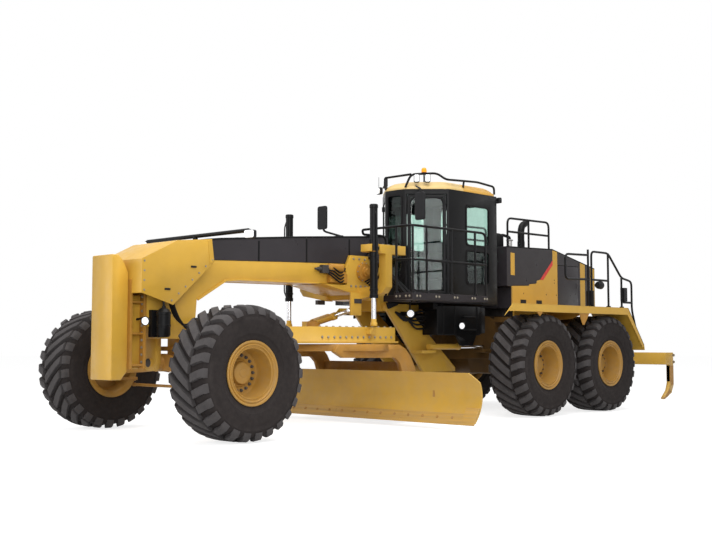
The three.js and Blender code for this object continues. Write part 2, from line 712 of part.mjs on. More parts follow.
// Tilts on the circle's arms and holds the blade's rails and the barrel of the side-shift cylinder.
function bladeBracket() {
  const cheek = [
    [TIP_Y - 74, TIP_Z - 120], [TIP_Y + 190, TIP_Z - 50], [TIP_Y + 190, TIP_Z + 60],
    [TIP_Y + 90, TIP_Z + 120], [TIP_Y + 90, 800], [TIP_Y - 74, 860],
  ];
  const cheeks = bothSides(
    join(
      plateX(cheek, 860, 990),
      plateX(cheek, 1100, 1180),
      plateX(
        [[TIP_Y - 74, TIP_Z + 125], [TIP_Y + 85, TIP_Z + 125], [TIP_Y + 85, 800], [TIP_Y - 74, 860]],
        860,
        1180,
      ),
    ),
  );
  const cross = block(-900, 900, TIP_Y - 20, TIP_Y + 60, 640, 760);
  const barrel = bar([-700, TIP_Y - 10, 560], [900, TIP_Y - 10, 560], 62, 14);
  const bore = bar([-640, TIP_Y - 10, 560], [1250, TIP_Y - 10, 560], 42, 14);
  const strut = bothSides(block(600, 680, TIP_Y - 20, TIP_Y + 60, 560, 700));
  return cut(join(cheeks, cross, barrel, strut), bore);
}

// Curved blade with its cutting edge, end bits and back rails; the side-shift rod runs beside it.
function moldboard() {
  const bottom = [3600, 120];
  const top = [3640, 905];
  const bulge = 165;
  const thick = 34;
  const steps = 6;
  const face = [];
  const back = [];
  for (let i = 0; i <= steps; i++) {
    const t = i / steps;
    const y = bottom[0] + (top[0] - bottom[0]) * t + bulge * 4 * t * (1 - t);
    const z = bottom[1] + (top[1] - bottom[1]) * t;
    face.push([y, z]);
    back.push([y + thick, z]);
  }
  const plate = plateX([...back, ...face.reverse()], -BLADE_HALF, BLADE_HALF);
  const corner = 150;
  const chamfer = (k) => plateY(
    k > 0
      ? [[BLADE_HALF - corner, 940], [BLADE_HALF + 50, 940], [BLADE_HALF + 50, 905 - corner]]
      : [[-BLADE_HALF - 50, 905 - corner], [-BLADE_HALF - 50, 940], [-BLADE_HALF + corner, 940]],
    3500,
    4000,
  );
  const rails = join(
    block(-2300, 2300, 3800, 3880, 150 + 130, 150 + 190),
    block(-2300, 2300, 3800, 3880, 690, 750),
  );
  const railFeet = [-2250, -1500, -450, 450, 1500, 2250].map((x) =>
    join(block(x - 20, x + 20, 3740, 3810, 260, 350), block(x - 20, x + 20, 3740, 3810, 680, 760)));
  const rod = bar([75, TIP_Y - 10, 560], [2150, TIP_Y - 10, 560], 36, 10);
  const rodLug = block(2120, 2170, 3780, TIP_Y + 40, 500, 620);
  return join(cut(plate, chamfer(1), chamfer(-1)), rails, ...railFeet, rod, rodLug);
}

// ---------------------------------------------------------------- cylinders
// Barrel and rod of one cylinder between two eyes; the rod starts inside the barrel.
function cylinderBarrel(from, to, barrelLength, radius, back = 0) {
  const a = new THREE.Vector3(...from);
  const way = new THREE.Vector3(...to).sub(a).normalize();
  const at = (d) => a.clone().addScaledVector(way, d).toArray();
  return cut(
    bar(at(-back), at(barrelLength), radius, 14),
    bar(at(60 - back), at(barrelLength + 50), radius * 0.68, 14),
  );
}

function cylinderRod(from, to, start, radius, short = 0) {
  const a = new THREE.Vector3(...from);
  const way = new THREE.Vector3(...to).sub(a);
  const length = way.length() - short;
  way.normalize();
  const at = (d) => a.clone().addScaledVector(way, d).toArray();
  return bar(at(start), at(length), radius, 12);
}

function addLiftCylinders() {
  const top = [LIFT_X, LIFT_Y, 3730];
  const stud = [LIFT_X, LIFT_Y, LIFT_STUD_Z - 10];
  const aside = 84 * Math.sin(LIFT_AXIS_TURN);
  const along = 84 * Math.cos(LIFT_AXIS_TURN);
  const trunnion = bar(
    [LIFT_X - aside, LIFT_Y - along, LIFT_PIVOT_Z],
    [LIFT_X + aside, LIFT_Y + along, LIFT_PIVOT_Z],
    42,
    10,
  );
  const barrel = join(cylinderBarrel(top, stud, 1600, 75), trunnion);
  const bore = bar([LIFT_X, LIFT_Y, 2000], [LIFT_X, LIFT_Y, 3660], 75 * 0.68, 14);
  addPair("lift_barrel", cut(barrel, bore), darkPaint);
  const rod = join(
    cylinderRod(top, stud, 730, 42),
    disc("z", [LIFT_X, LIFT_Y, LIFT_STUD_Z + 27], 60, 34, 12),
  );
  addPair("lift_rod", rod, chromeSteel);
}

const SHIFT_BARREL_EYE = [-700, 3650, 1700];
const SHIFT_ROD_EYE = [340, 3650, 1930];

function addShiftCylinder() {
  add("shift_barrel", cylinderBarrel(SHIFT_BARREL_EYE, SHIFT_ROD_EYE, 710, 68), yellowPaint());
  const rod = join(
    cylinderRod(SHIFT_BARREL_EYE, SHIFT_ROD_EYE, 360, 36, 20),
    disc("y", SHIFT_ROD_EYE, 52, 34, 12),
  );
  add("shift_rod", rod, chromeSteel());
}

const ARTIC_BARREL_EYE = [620, 5470, 1300];
const ARTIC_ROD_EYE = [560, 7150, 1300];

function addArticulationCylinders() {
  addPair(
    "articulation_barrel",
    cylinderBarrel(ARTIC_BARREL_EYE, ARTIC_ROD_EYE, 900, 62, 40),
    yellowPaint,
  );
  addPair("articulation_rod", cylinderRod(ARTIC_BARREL_EYE, ARTIC_ROD_EYE, 560, 34, 5), chromeSteel);
}

// ---------------------------------------------------------------- rear frame
function rearFrame() {
  const column = disc("z", [0, HITCH_Y, 1450], 165, 494, 20);
  const tongue = plateZ(
    [
      [-150, HITCH_Y], [150, HITCH_Y], [260, 6850], [REAR_FRAME_HALF, 7250], [REAR_FRAME_HALF, 7400],
      [-REAR_FRAME_HALF, 7400], [-REAR_FRAME_HALF, 7250], [-260, 6850],
    ],
    1060,
    1840,
  );
  const rails = plateX(
    [
      [7300, 1060], [7900, 1060], [8000, 760], [8480, 760], [8580, 1060], [10940, 1060], [10940, 1900],
      [7300, 1900],
    ],
    -REAR_FRAME_HALF,
    REAR_FRAME_HALF,
  );
  const axle = bar(
    [-TANDEM_INNER_X + 6, TANDEM_Y, WHEEL_Z],
    [TANDEM_INNER_X - 6, TANDEM_Y, WHEEL_Z],
    230,
    18,
  );
  const bearer = bothSides(
    join(
      block(REAR_FRAME_HALF - 10, 900, 7700, 7820, 1780, 1890),
      block(REAR_FRAME_HALF - 10, 900, 10100, 10220, 1780, 1890),
    ),
  );
  const wings = bothSides(
    plateY(
      [[REAR_FRAME_HALF - 10, 1500], [900, 1790], [900, 1890], [REAR_FRAME_HALF - 10, 1890]],
      8900,
      9000,
    ),
  );
  const pinBores = join(disc("z", [0, HITCH_Y, 1930], 65, 90), disc("z", [0, HITCH_Y, 970], 65, 90));
  const rodLugs = bothSides(
    join(block(250, 620, 7120, 7180, 1180, 1250), block(250, 620, 7180, 7300, 1180, 1250)),
  );
  const bumper = block(-880, 880, 10860, 10950, 1150, 1950);
  const ripperEar = [[10940, 1020], [11120, 1050], [11120, 1250], [10940, 1320]];
  const ripperEars = join(...[-560, -440, 440, 560].map((x) => plateX(ripperEar, x - 22, x + 22)));
  const cylinderEar = [[10940, 1600], [11060, 1680], [11060, 1800], [10940, 1880]];
  const cylinderEars = join(...[-75, 75].map((x) => plateX(cylinderEar, x - 14, x + 14)));
  return cut(
    join(column, tongue, rails, axle, bearer, wings, rodLugs, bumper, ripperEars, cylinderEars),
    pinBores,
  );
}

function engineBlock() {
  return block(-420, 420, 8000, 9900, 1900 + GAP, 2900);
}

const HOOD_SIDE = [
  [7700, 2060], [10780, 2060], [10780, 3000], [9150, 3330], [7560, 3290], [7560, 2490], [7700, 2490],
];
const HOOD_DOOR = { y0: 9330, y1: 10130, z0: 2150, z1: 3000 };

function engineHood() {
  const shell = 25;
  const inside = [
    [7740, 1900], [10750, 1900], [10750, 2975], [9146, 3300], [7590, 3262], [7590, 2520], [7740, 2520],
  ];
  const hollow = cut(
    plateX(HOOD_SIDE, -HOOD_HALF, HOOD_HALF),
    plateX(inside, -HOOD_HALF + shell, HOOD_HALF - shell),
  );
  const { y0, y1, z0, z1 } = HOOD_DOOR;
  const doorways = bothSides(block(HOOD_HALF - 60, HOOD_HALF + 60, y0, y1, z0, z1));
  const stack = join(
    bar([360, STACK_Y, 3290], [360, STACK_Y, 3880], 78, 12),
    bar([360, STACK_Y, 3830], [360, STACK_Y + 210, 3900], 70, 10),
  );
  const rail = (k) =>
    railing(
      [[k * 820, 7640, 3280], [k * 820, 7640, 3860], [k * 820, 9080, 3880], [k * 820, 9080, 3310]],
      [[k * 820, 7640, 3590], [k * 820, 9080, 3600]],
      [[k * 820, 8360, 3290], [k * 820, 8360, 3870]],
    );
  return join(cut(hollow, doorways), stack, rail(1), rail(-1));
}

function hoodDoor() {
  const { y0, y1, z0, z1 } = HOOD_DOOR;
  return join(
    block(HOOD_HALF - 26, HOOD_HALF - 1, y0 + 7, y1 - 7, z0 + 7, z1 - 7),
    block(HOOD_HALF - 2, HOOD_HALF + 14, y1 - 80, y1 - 40, 2520, 2640),
  );
}

// Walkway over the tandem wheels, sloping down behind them, with its handrails.
function fender() {
  const top = FENDER_TOP_Z;
  const under = top - FENDER_PLATE;
  const plate = plateZ(
    [
      [FENDER_OUT_X, 5900], [FENDER_OUT_X, 9860], [HOOD_HALF + 20, 9860], [HOOD_HALF + 20, 7700],
    ],
    under,
    top,
  );
  const slope = plateX(
    [
      [9850, under], [9850, top], [9865, top], [10480, 1330], [10500, 1220], [10475, 1220],
      [10455, 1320],
    ],
    1290,
    FENDER_OUT_X,
  );
  const lip = plateX(
    [
      [5640, 1850], [5770, 1935], [9830, 1935], [10430, 1270], [10480, 1330], [9865, top],
      [5900, top],
    ],
    FENDER_OUT_X - 14,
    FENDER_OUT_X,
  );
  const support = join(
    block(HOOD_HALF + 20, 905, 7700, 7820, 1890 + GAP, under + 5),
    block(HOOD_HALF + 20, 905, 9700, 9860, 1780, under + 5),
  );
  const skirt = block(HOOD_HALF + 20, HOOD_HALF + 40, 7700, 9860, 1890 + GAP, under + 5);
  const x = 2060;
  const rails = railing(
    [[x, 7800, 2600], [x, 7800, 3080], [x, 8600, 3100]],
    [[x, 7800, 2600], [x, 8600, 2620]],
    [[x, 8600, top - 10], [x, 8600, 3210]],
    [
      [x, 8720, top - 10], [x, 8720, 3180], [x, 9340, 3180], [x, 9850, 2700], [x, 10250, 2640],
      [x, 10250, 2050], [x, 10470, 1500],
    ],
    [[x, 8720, 2620], [x, 9340, 2620]],
    [[x, 9340, top - 10], [x, 9340, 3180]],
    [[x, 9850, top - 10], [x, 9850, 2700]],
    [[x, 9850, 2200], [x, 10250, 2200]],
  );
  return join(plate, slope, lip, support, skirt, rails);
}

function tandemCase() {
  const mid = TANDEM_Y;
  const reach = TANDEM_HALF + 210;
  const outline = [
    [mid - reach, WHEEL_Z - 90], [mid - reach + 120, WHEEL_Z - 210],
    [mid - 400, WHEEL_Z - 300], [mid + 400, WHEEL_Z - 300],
    [mid + reach - 120, WHEEL_Z - 210], [mid + reach, WHEEL_Z - 90],
    [mid + reach, WHEEL_Z + 90], [mid + reach - 120, WHEEL_Z + 210],
    [mid + 400, WHEEL_Z + 300], [mid - 400, WHEEL_Z + 300],
    [mid - reach + 120, WHEEL_Z + 210], [mid - reach, WHEEL_Z + 90],
  ];
  const box = plateX(outline, TANDEM_INNER_X, TANDEM_OUTER_X);
  const end = TRACK_HALF + HUB_INNER_FACE - 1;
  const spindles = [mid - TANDEM_HALF, mid + TANDEM_HALF].map((y) =>
    bar([TANDEM_OUTER_X - 10, y, WHEEL_Z], [end, y, WHEEL_Z], 130, 16));
  return join(box, ...spindles);
}

// ---------------------------------------------------------------- ripper
const RIPPER_PIVOT = [11060, 1150];
const RIPPER_CYL_BASE = [0, 11030, 1740];
const RIPPER_CYL_ROD = [0, 11950, 1180];

function ripperBeam() {
  const beam = block(-1700, 1700, 12300, 12560, 880, 1150);
  const arms = bothSides(
    plateX(
      [
        [RIPPER_PIVOT[0] - 60, 1090], [RIPPER_PIVOT[0] - 60, 1210], [11500, 1230], [12330, 1120],
        [12330, 900], [11500, 1020],
      ],
      464,
      536,
    ),
  );
  const crossTube = bar([-500, 11900, 1090], [500, 11900, 1090], 60, 10);
  const ear = [[11870, 1090], [12010, 1090], [12010, 1240], [11900, 1240]];
  const ears = join(...[-54, 54].map((x) => plateX(ear, x - 14, x + 14)));
  const shankSide = [
    [12560, 1150], [MACHINE_REAR, 1150], [MACHINE_REAR, 420], [12600, 250], [12260, 110],
    [12230, 130], [12440, 300], [12520, 480], [12520, 880], [12560, 880],
  ];
  const shanks = [-1640, 0, 1640].map((x) => plateX(shankSide, x - 42, x + 42));
  return join(beam, arms, crossTube, ears, ...shanks);
}

function addRipperCylinder() {
  add("ripper_barrel", cylinderBarrel(RIPPER_CYL_BASE, RIPPER_CYL_ROD, 640, 58, 40), yellowPaint());
  add("ripper_rod", cylinderRod(RIPPER_CYL_BASE, RIPPER_CYL_ROD, 420, 32, 0), chromeSteel());
}

// ---------------------------------------------------------------- assembly
add("main_frame", mainFrame(), yellowPaint());
add("counterweight", counterweight(), yellowPaint());
add("nose_cover", noseCover(), yellowPaint());
add("frame_cover", frameCover(), darkPaint());
add("lift_saddle", liftSaddle(), yellowPaint());
add("belly_tank", bellyTank(), darkPaint());
add("cab_platform", cabPlatform(), darkPaint());
add("cab_shell", cabShell(), darkPaint());
add("cab_roof", cabRoof(), paleYellowPaint());
add("cab_glass", cabGlass(), tintedGlass());
add("operator_seat", operatorSeat(), seatCloth());
addPair("cab_door", cabDoor(), darkPaint);

add("axle_beam", axleBeam(), yellowPaint());
addPair("lean_housing", leanHousing(), yellowPaint);
add("lean_bar", leanBar(), yellowPaint());
addPair("knuckle", knuckle(), yellowPaint);
add("tie_rod_end", tieRodEnd(), yellowPaint());
add("tie_rod", tieRod(), yellowPaint());

addWheel("front_left", TRACK_HALF, 0);
addWheel("front_right", -TRACK_HALF, 0);
addWheel("middle_left", TRACK_HALF, TANDEM_Y - TANDEM_HALF);
addWheel("middle_right", -TRACK_HALF, TANDEM_Y - TANDEM_HALF);
addWheel("rear_left", TRACK_HALF, TANDEM_Y + TANDEM_HALF);
addWheel("rear_right", -TRACK_HALF, TANDEM_Y + TANDEM_HALF);

add("rear_frame", rearFrame(), yellowPaint());
add("engine_block", engineBlock(), castIron());
add("engine_hood", engineHood(), darkPaint());
addPair("hood_door", hoodDoor(), darkPaint);
addPair("fender", fender(), yellowPaint);
addPair("tandem_case", tandemCase(), yellowPaint);

add("drawbar_ball", drawbarBall(), yellowPaint());
add("drawbar", drawbar(), yellowPaint());
add("circle", circle(), yellowPaint());
add("blade_bracket", bladeBracket(), yellowPaint());
add("moldboard", moldboard(), yellowPaint());

addLiftCylinders();
addShiftCylinder();
addArticulationCylinders();

add("ripper_beam", ripperBeam(), yellowPaint());
addRipperCylinder();

export default machine;
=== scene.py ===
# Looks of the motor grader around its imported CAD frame. Blender 4.5.
import math

import bmesh
import bpy
from mathutils import Matrix, Vector


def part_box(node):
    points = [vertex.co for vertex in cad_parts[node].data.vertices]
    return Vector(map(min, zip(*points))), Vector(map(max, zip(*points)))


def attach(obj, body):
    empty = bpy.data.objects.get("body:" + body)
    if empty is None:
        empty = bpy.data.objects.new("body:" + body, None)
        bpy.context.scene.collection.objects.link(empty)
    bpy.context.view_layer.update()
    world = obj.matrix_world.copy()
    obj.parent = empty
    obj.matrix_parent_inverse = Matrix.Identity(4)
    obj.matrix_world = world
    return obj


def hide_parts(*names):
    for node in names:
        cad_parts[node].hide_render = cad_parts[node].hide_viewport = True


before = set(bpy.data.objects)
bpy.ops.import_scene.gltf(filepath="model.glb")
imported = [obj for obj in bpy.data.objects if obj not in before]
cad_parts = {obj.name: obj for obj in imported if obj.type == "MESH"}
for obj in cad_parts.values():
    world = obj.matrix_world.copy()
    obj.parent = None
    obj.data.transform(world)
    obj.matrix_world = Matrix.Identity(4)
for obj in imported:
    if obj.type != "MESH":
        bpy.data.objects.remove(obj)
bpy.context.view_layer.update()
bpy.context.scene.view_settings.view_transform = "Standard"


def centre_of(node):
    low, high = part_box(node)
    return (low + high) / 2


# Positions below are metres from the front axle, as in the CAD source; this moves them into the frame.
AXLE_Y = centre_of("rim_front_left").y
SIDES = (("left", 1), ("right", -1))
WELD_DISTANCE = 0.0002


# ------------------------------------------------------------------ materials
def srgb(r, g, b):
    return tuple(((c / 255 + 0.055) / 1.055) ** 2.4 if c > 10 else c / 255 / 12.92 for c in (r, g, b))


def surface(
    name,
    colour,
    rough=0.5,
    metal=0.0,
    vary=0.12,
    scale=3.0,
    grain=220.0,
    bump=0.08,
    dust_and_shade=0.0,
    dust_and_shade_colour=(0.36, 0.29, 0.2),
    streak=(1, 1, 1),
    rough_vary=0.1,
    coat=0.0,
    dust_and_shade_top=1.6,
    shine=0.3,
):
    """A finish with broad colour variation, road dust that thins with height (on the shade-darkened yellow a
    near-black layer of painted shade instead), fine grain and uneven gloss.
    """
    mat = bpy.data.materials.new(name)
    mat.use_nodes = True
    nodes, links = mat.node_tree.nodes, mat.node_tree.links
    shader = nodes["Principled BSDF"]
    shader.inputs["Metallic"].default_value = metal
    shader.inputs["Specular IOR Level"].default_value = shine
    if coat:
        shader.inputs["Coat Weight"].default_value = coat
        shader.inputs["Coat Roughness"].default_value = 0.25
    place = nodes.new("ShaderNodeTexCoord")
    stretch = nodes.new("ShaderNodeMapping")
    stretch.inputs["Scale"].default_value = streak
    links.new(place.outputs["Object"], stretch.inputs["Vector"])

    def noise(size, detail, rough_=0.6):
        n = nodes.new("ShaderNodeTexNoise")
        n.inputs["Scale"].default_value = size
        n.inputs["Detail"].default_value = detail
        n.inputs["Roughness"].default_value = rough_
        links.new(stretch.outputs["Vector"], n.inputs["Vector"])
        return n.outputs["Fac"]

    def ranged(source, a, b, c, d):
        m = nodes.new("ShaderNodeMapRange")
        m.inputs["From Min"].default_value = a
        m.inputs["From Max"].default_value = b
        m.inputs["To Min"].default_value = c
        m.inputs["To Max"].default_value = d
        links.new(source, m.inputs["Value"])
        return m.outputs["Result"]

    def mixed(factor, a, b):
        m = nodes.new("ShaderNodeMix")
        m.data_type = "RGBA"
        links.new(factor, m.inputs[0])
        for socket, value in ((m.inputs[6], a), (m.inputs[7], b)):
            if isinstance(value, tuple):
                socket.default_value = (*value, 1)
            else:
                links.new(value, socket)
        return m.outputs[2]

    def product(a, b):
        m = nodes.new("ShaderNodeMath")
        m.operation = "MULTIPLY"
        links.new(a, m.inputs[0])
        links.new(b, m.inputs[1])
        return m.outputs[0]

    broad = ranged(noise(scale, 4), 0.3, 0.7, 0, 1)
    tone = mixed(
        broad, tuple(min(1, c * (1 - vary)) for c in colour), tuple(min(1, c * (1 + vary)) for c in colour),
    )
    # Strongest at the ground and thinning with height: road dust, and on the shade-darkened yellow painted
    # shade.
    if dust_and_shade:
        split = nodes.new("ShaderNodeSeparateXYZ")
        links.new(place.outputs["Object"], split.inputs["Vector"])
        low = ranged(split.outputs["Z"], 0.0, dust_and_shade_top, dust_and_shade, dust_and_shade * 0.12)
        patch = ranged(noise(scale * 2.7, 8, 0.7), 0.32, 0.62, 0.15, 1)
        tone = mixed(product(low, patch), tone, dust_and_shade_colour)
    links.new(tone, shader.inputs["Base Color"])
    fine = noise(grain, 3)
    gloss = ranged(noise(scale * 5, 5), 0.3, 0.7, max(0.04, rough - rough_vary), min(1, rough + rough_vary))
    links.new(gloss, shader.inputs["Roughness"])
    lift = nodes.new("ShaderNodeBump")
    lift.inputs["Strength"].default_value = bump
    lift.inputs["Distance"].default_value = 0.002
    links.new(fine, lift.inputs["Height"])
    links.new(lift.outputs["Normal"], shader.inputs["Normal"])
    return mat


def glassy(name, colour, rough, weight, painted_glow=0.0):
    mat = surface(name, colour, rough=rough, vary=0.04, bump=0.0, rough_vary=0.02, shine=0.5)
    shader = mat.node_tree.nodes["Principled BSDF"]
    shader.inputs["Transmission Weight"].default_value = weight
    shader.inputs["IOR"].default_value = 1.3
    # A faint glow in the lens colour: painted highlight.
    if painted_glow:
        shader.inputs["Emission Color"].default_value = (*colour, 1)
        shader.inputs["Emission Strength"].default_value = painted_glow
    return mat


YELLOW = surface("yellow_paint", srgb(203, 159, 58), 0.42, 0.0, 0.07, 1.7, bump=0.05, dust_and_shade=0.28, coat=0.08)
# A darker copy of the yellow paint: painted shade for yellow parts that sit in shadow, under and behind the
# machine.
YELLOW_PAINTED_SHADE = surface("yellow_paint_painted_shade", srgb(172, 122, 42), 0.5, 0.0, 0.16, 2.6, bump=0.08, dust_and_shade=0.4)
# Rim yellow darkened: painted shade for the rims, which sit deep inside the tyres.
RIM_PAINTED_SHADE = surface(
    "rim_paint", srgb(172, 126, 44), 0.45, 0.0, 0.1, 3.0, bump=0.06, dust_and_shade=0.35, dust_and_shade_colour=(0.3, 0.22, 0.12),
)
BLACK = surface(
    "dark_paint", srgb(20, 20, 21), 0.36, 0.0, 0.18, 1.9, bump=0.05, dust_and_shade=0.05,
    dust_and_shade_colour=(0.05, 0.045, 0.04), shine=0.12,
)
COVER = surface(
    "dark_cover_paint", srgb(48, 45, 48), 0.36, 0.0, 0.12, 1.2, bump=0.05, dust_and_shade=0.03, coat=0.03, shine=0.2,
)
TREAD_GREY = surface(
    "deck_grey_paint", srgb(42, 38, 40), 0.5, 0.0, 0.12, 4.0, bump=0.1, dust_and_shade=0.05, shine=0.15,
)
# The yellow darkened to brown: painted shade for the rear frame in shadow under the cab; its near-black low
# layer darkens it further towards the bottom, painted shade as well.
SHADE_DARKENED_YELLOW = surface(
    "shade_darkened_yellow_paint", srgb(92, 66, 30), 0.6, 0.0, 0.25, 2.2, bump=0.2, dust_and_shade=0.6,
    dust_and_shade_colour=(0.045, 0.034, 0.024), shine=0.15,
)
RUBBER = surface(
    "tyre_rubber", srgb(40, 36, 36), 0.8, 0.0, 0.14, 4.0, grain=160, bump=0.25, dust_and_shade=0.35,
    dust_and_shade_colour=(0.05, 0.042, 0.038), dust_and_shade_top=60, shine=0.1,
)
TREAD = surface(
    "tyre_tread_rubber", srgb(70, 67, 68), 0.75, 0.0, 0.16, 6.0, grain=120, bump=0.3, dust_and_shade=0.3,
    dust_and_shade_colour=(0.09, 0.082, 0.075), dust_and_shade_top=60, shine=0.15,
)
HOSE = surface("hose_rubber", srgb(18, 17, 18), 0.6, 0.0, 0.2, 9.0, bump=0.15, shine=0.15)
CHROME = surface("chrome", (0.72, 0.72, 0.74), 0.16, 1.0, 0.04, 5.0, bump=0.02, rough_vary=0.05)
IRON = surface("cast_iron", srgb(62, 60, 60), 0.6, 0.3, 0.25, 5.0, grain=90, bump=0.4, dust_and_shade=0.3)
# Cutting-edge paint: real wear streaks, slightly metallic, on a base a little darker than the yellow, which
# is painted shade.
WORN_YELLOW_PAINTED_SHADE = surface(
    "worn_yellow_paint_painted_shade", srgb(196, 150, 58), 0.4, 0.15, 0.18, 3.0, bump=0.15, dust_and_shade=0.5, streak=(0.3, 4, 8),
)
BOLT = surface("zinc_bolt", srgb(150, 142, 128), 0.4, 0.6, 0.2, 14.0, bump=0.1)
RED = surface("red_paint", srgb(206, 52, 40), 0.4, 0.0, 0.08, 3.0, bump=0.04, coat=0.2)
PLASTIC = surface("moulded_plastic", srgb(24, 24, 26), 0.55, 0.0, 0.15, 8.0, grain=420, bump=0.25, shine=0.2)
# The lamp and beacon lenses glow faintly: a painted highlight on lamps that are not lit.
LENS = glassy("lamp_lens", (0.93, 0.94, 0.95), 0.12, 0.1, 0.45)
ORANGE = glassy("beacon_lens", srgb(246, 146, 30), 0.2, 0.1, 0.45)
GLASS = glassy("tinted_glass", (0.64, 0.8, 0.74), 0.03, 1.0)
SILVER = surface("bare_aluminium", srgb(176, 174, 172), 0.35, 0.8, 0.2, 9.0, bump=0.1)


def woven(name, colour):
    """Black seat cloth: two crossed wave patterns as the threads."""
    mat = surface(name, colour, 0.9, 0.0, 0.2, 12.0, bump=0.1)
    nodes, links = mat.node_tree.nodes, mat.node_tree.links
    shader = nodes["Principled BSDF"]
    shader.inputs["Sheen Weight"].default_value = 0.4
    shader.inputs["Sheen Roughness"].default_value = 0.5
    place = nodes.new("ShaderNodeTexCoord")
    height = nodes.new("ShaderNodeMath")
    height.operation = "ADD"
    for i, way in enumerate(("X", "Y")):
        wave = nodes.new("ShaderNodeTexWave")
        wave.bands_direction = way
        wave.inputs["Scale"].default_value = 160
        wave.inputs["Distortion"].default_value = 0.6
        links.new(place.outputs["Object"], wave.inputs["Vector"])
        links.new(wave.outputs["Fac"], height.inputs[i])
    lift = next(n for n in nodes if n.bl_idname == "ShaderNodeBump")
    lift.inputs["Strength"].default_value = 0.5
    links.new(height.outputs[0], lift.inputs["Height"])
    return mat


CLOTH = woven("seat_cloth", srgb(30, 30, 33))


def roof_paint():
    """The roof's front half is paler than its rear half."""
    mat = surface("roof_paint", srgb(212, 182, 120), 0.45, 0.0, 0.05, 1.5, bump=0.04, dust_and_shade=0.0, coat=0.05)
    nodes, links = mat.node_tree.nodes, mat.node_tree.links
    shader = nodes["Principled BSDF"]
    before = shader.inputs["Base Color"].links[0].from_socket
    place = nodes.new("ShaderNodeTexCoord")
    split = nodes.new("ShaderNodeSeparateXYZ")
    links.new(place.outputs["Object"], split.inputs[0])
    step = nodes.new("ShaderNodeMapRange")
    step.inputs["From Min"].default_value = 6.2 + AXLE_Y
    step.inputs["From Max"].default_value = 6.24 + AXLE_Y
    links.new(split.outputs["Y"], step.inputs["Value"])
    mix = nodes.new("ShaderNodeMix")
    mix.data_type = "RGBA"
    links.new(step.outputs["Result"], mix.inputs[0])
    links.new(before, mix.inputs[6])
    mix.inputs[7].default_value = (*srgb(206, 158, 68), 1)
    links.new(mix.outputs[2], shader.inputs["Base Color"])
    return mat


ROOF = roof_paint()


# ------------------------------------------------------------------ mesh building
def to_mesh(bm, name, *materials, recalc=True):
    """Ends a bmesh: normals outward, into a new mesh with its materials."""
    if recalc:
        bmesh.ops.recalc_face_normals(bm, faces=bm.faces)
    mesh = bpy.data.meshes.new(name)
    bm.to_mesh(mesh)
    bm.free()
    for material in materials:
        mesh.materials.append(material)
    return mesh


def circle(count):
    """Cosine and sine of evenly spaced angles."""
    return [(math.cos(math.tau * i / count), math.sin(math.tau * i / count)) for i in range(count)]


def rounded(points, bend, steps=4):
    """The path through the points with each corner turned into an arc."""
    pts = [Vector(p) for p in points]
    out = [pts[0]]
    for a, b, c in zip(pts, pts[1:], pts[2:]):
        u, v = a - b, c - b
        reach = min(bend, u.length * 0.45, v.length * 0.45)
        u.normalize()
        v.normalize()
        for i in range(steps + 1):
            t = i / steps
            out.append((1 - t) ** 2 * (b + u * reach) + 2 * t * (1 - t) * b + t * t * (b + v * reach))
    out.append(pts[-1])
    return out


def corner_arcs(outline, radius, steps=4):
    """A closed outline of (u, v) points with its corners rounded."""
    n = len(outline)
    out = []
    for i, b in enumerate(outline):
        a, c = outline[i - 1], outline[(i + 1) % n]
        arc = rounded([(*a, 0), (*b, 0), (*c, 0)], radius, steps)[1:-1]
        out += [(p.x, p.y) for p in arc]
    return out


def round_rect(u0, u1, v0, v1, radius):
    return corner_arcs([(u0, v0), (u1, v0), (u1, v1), (u0, v1)], radius)


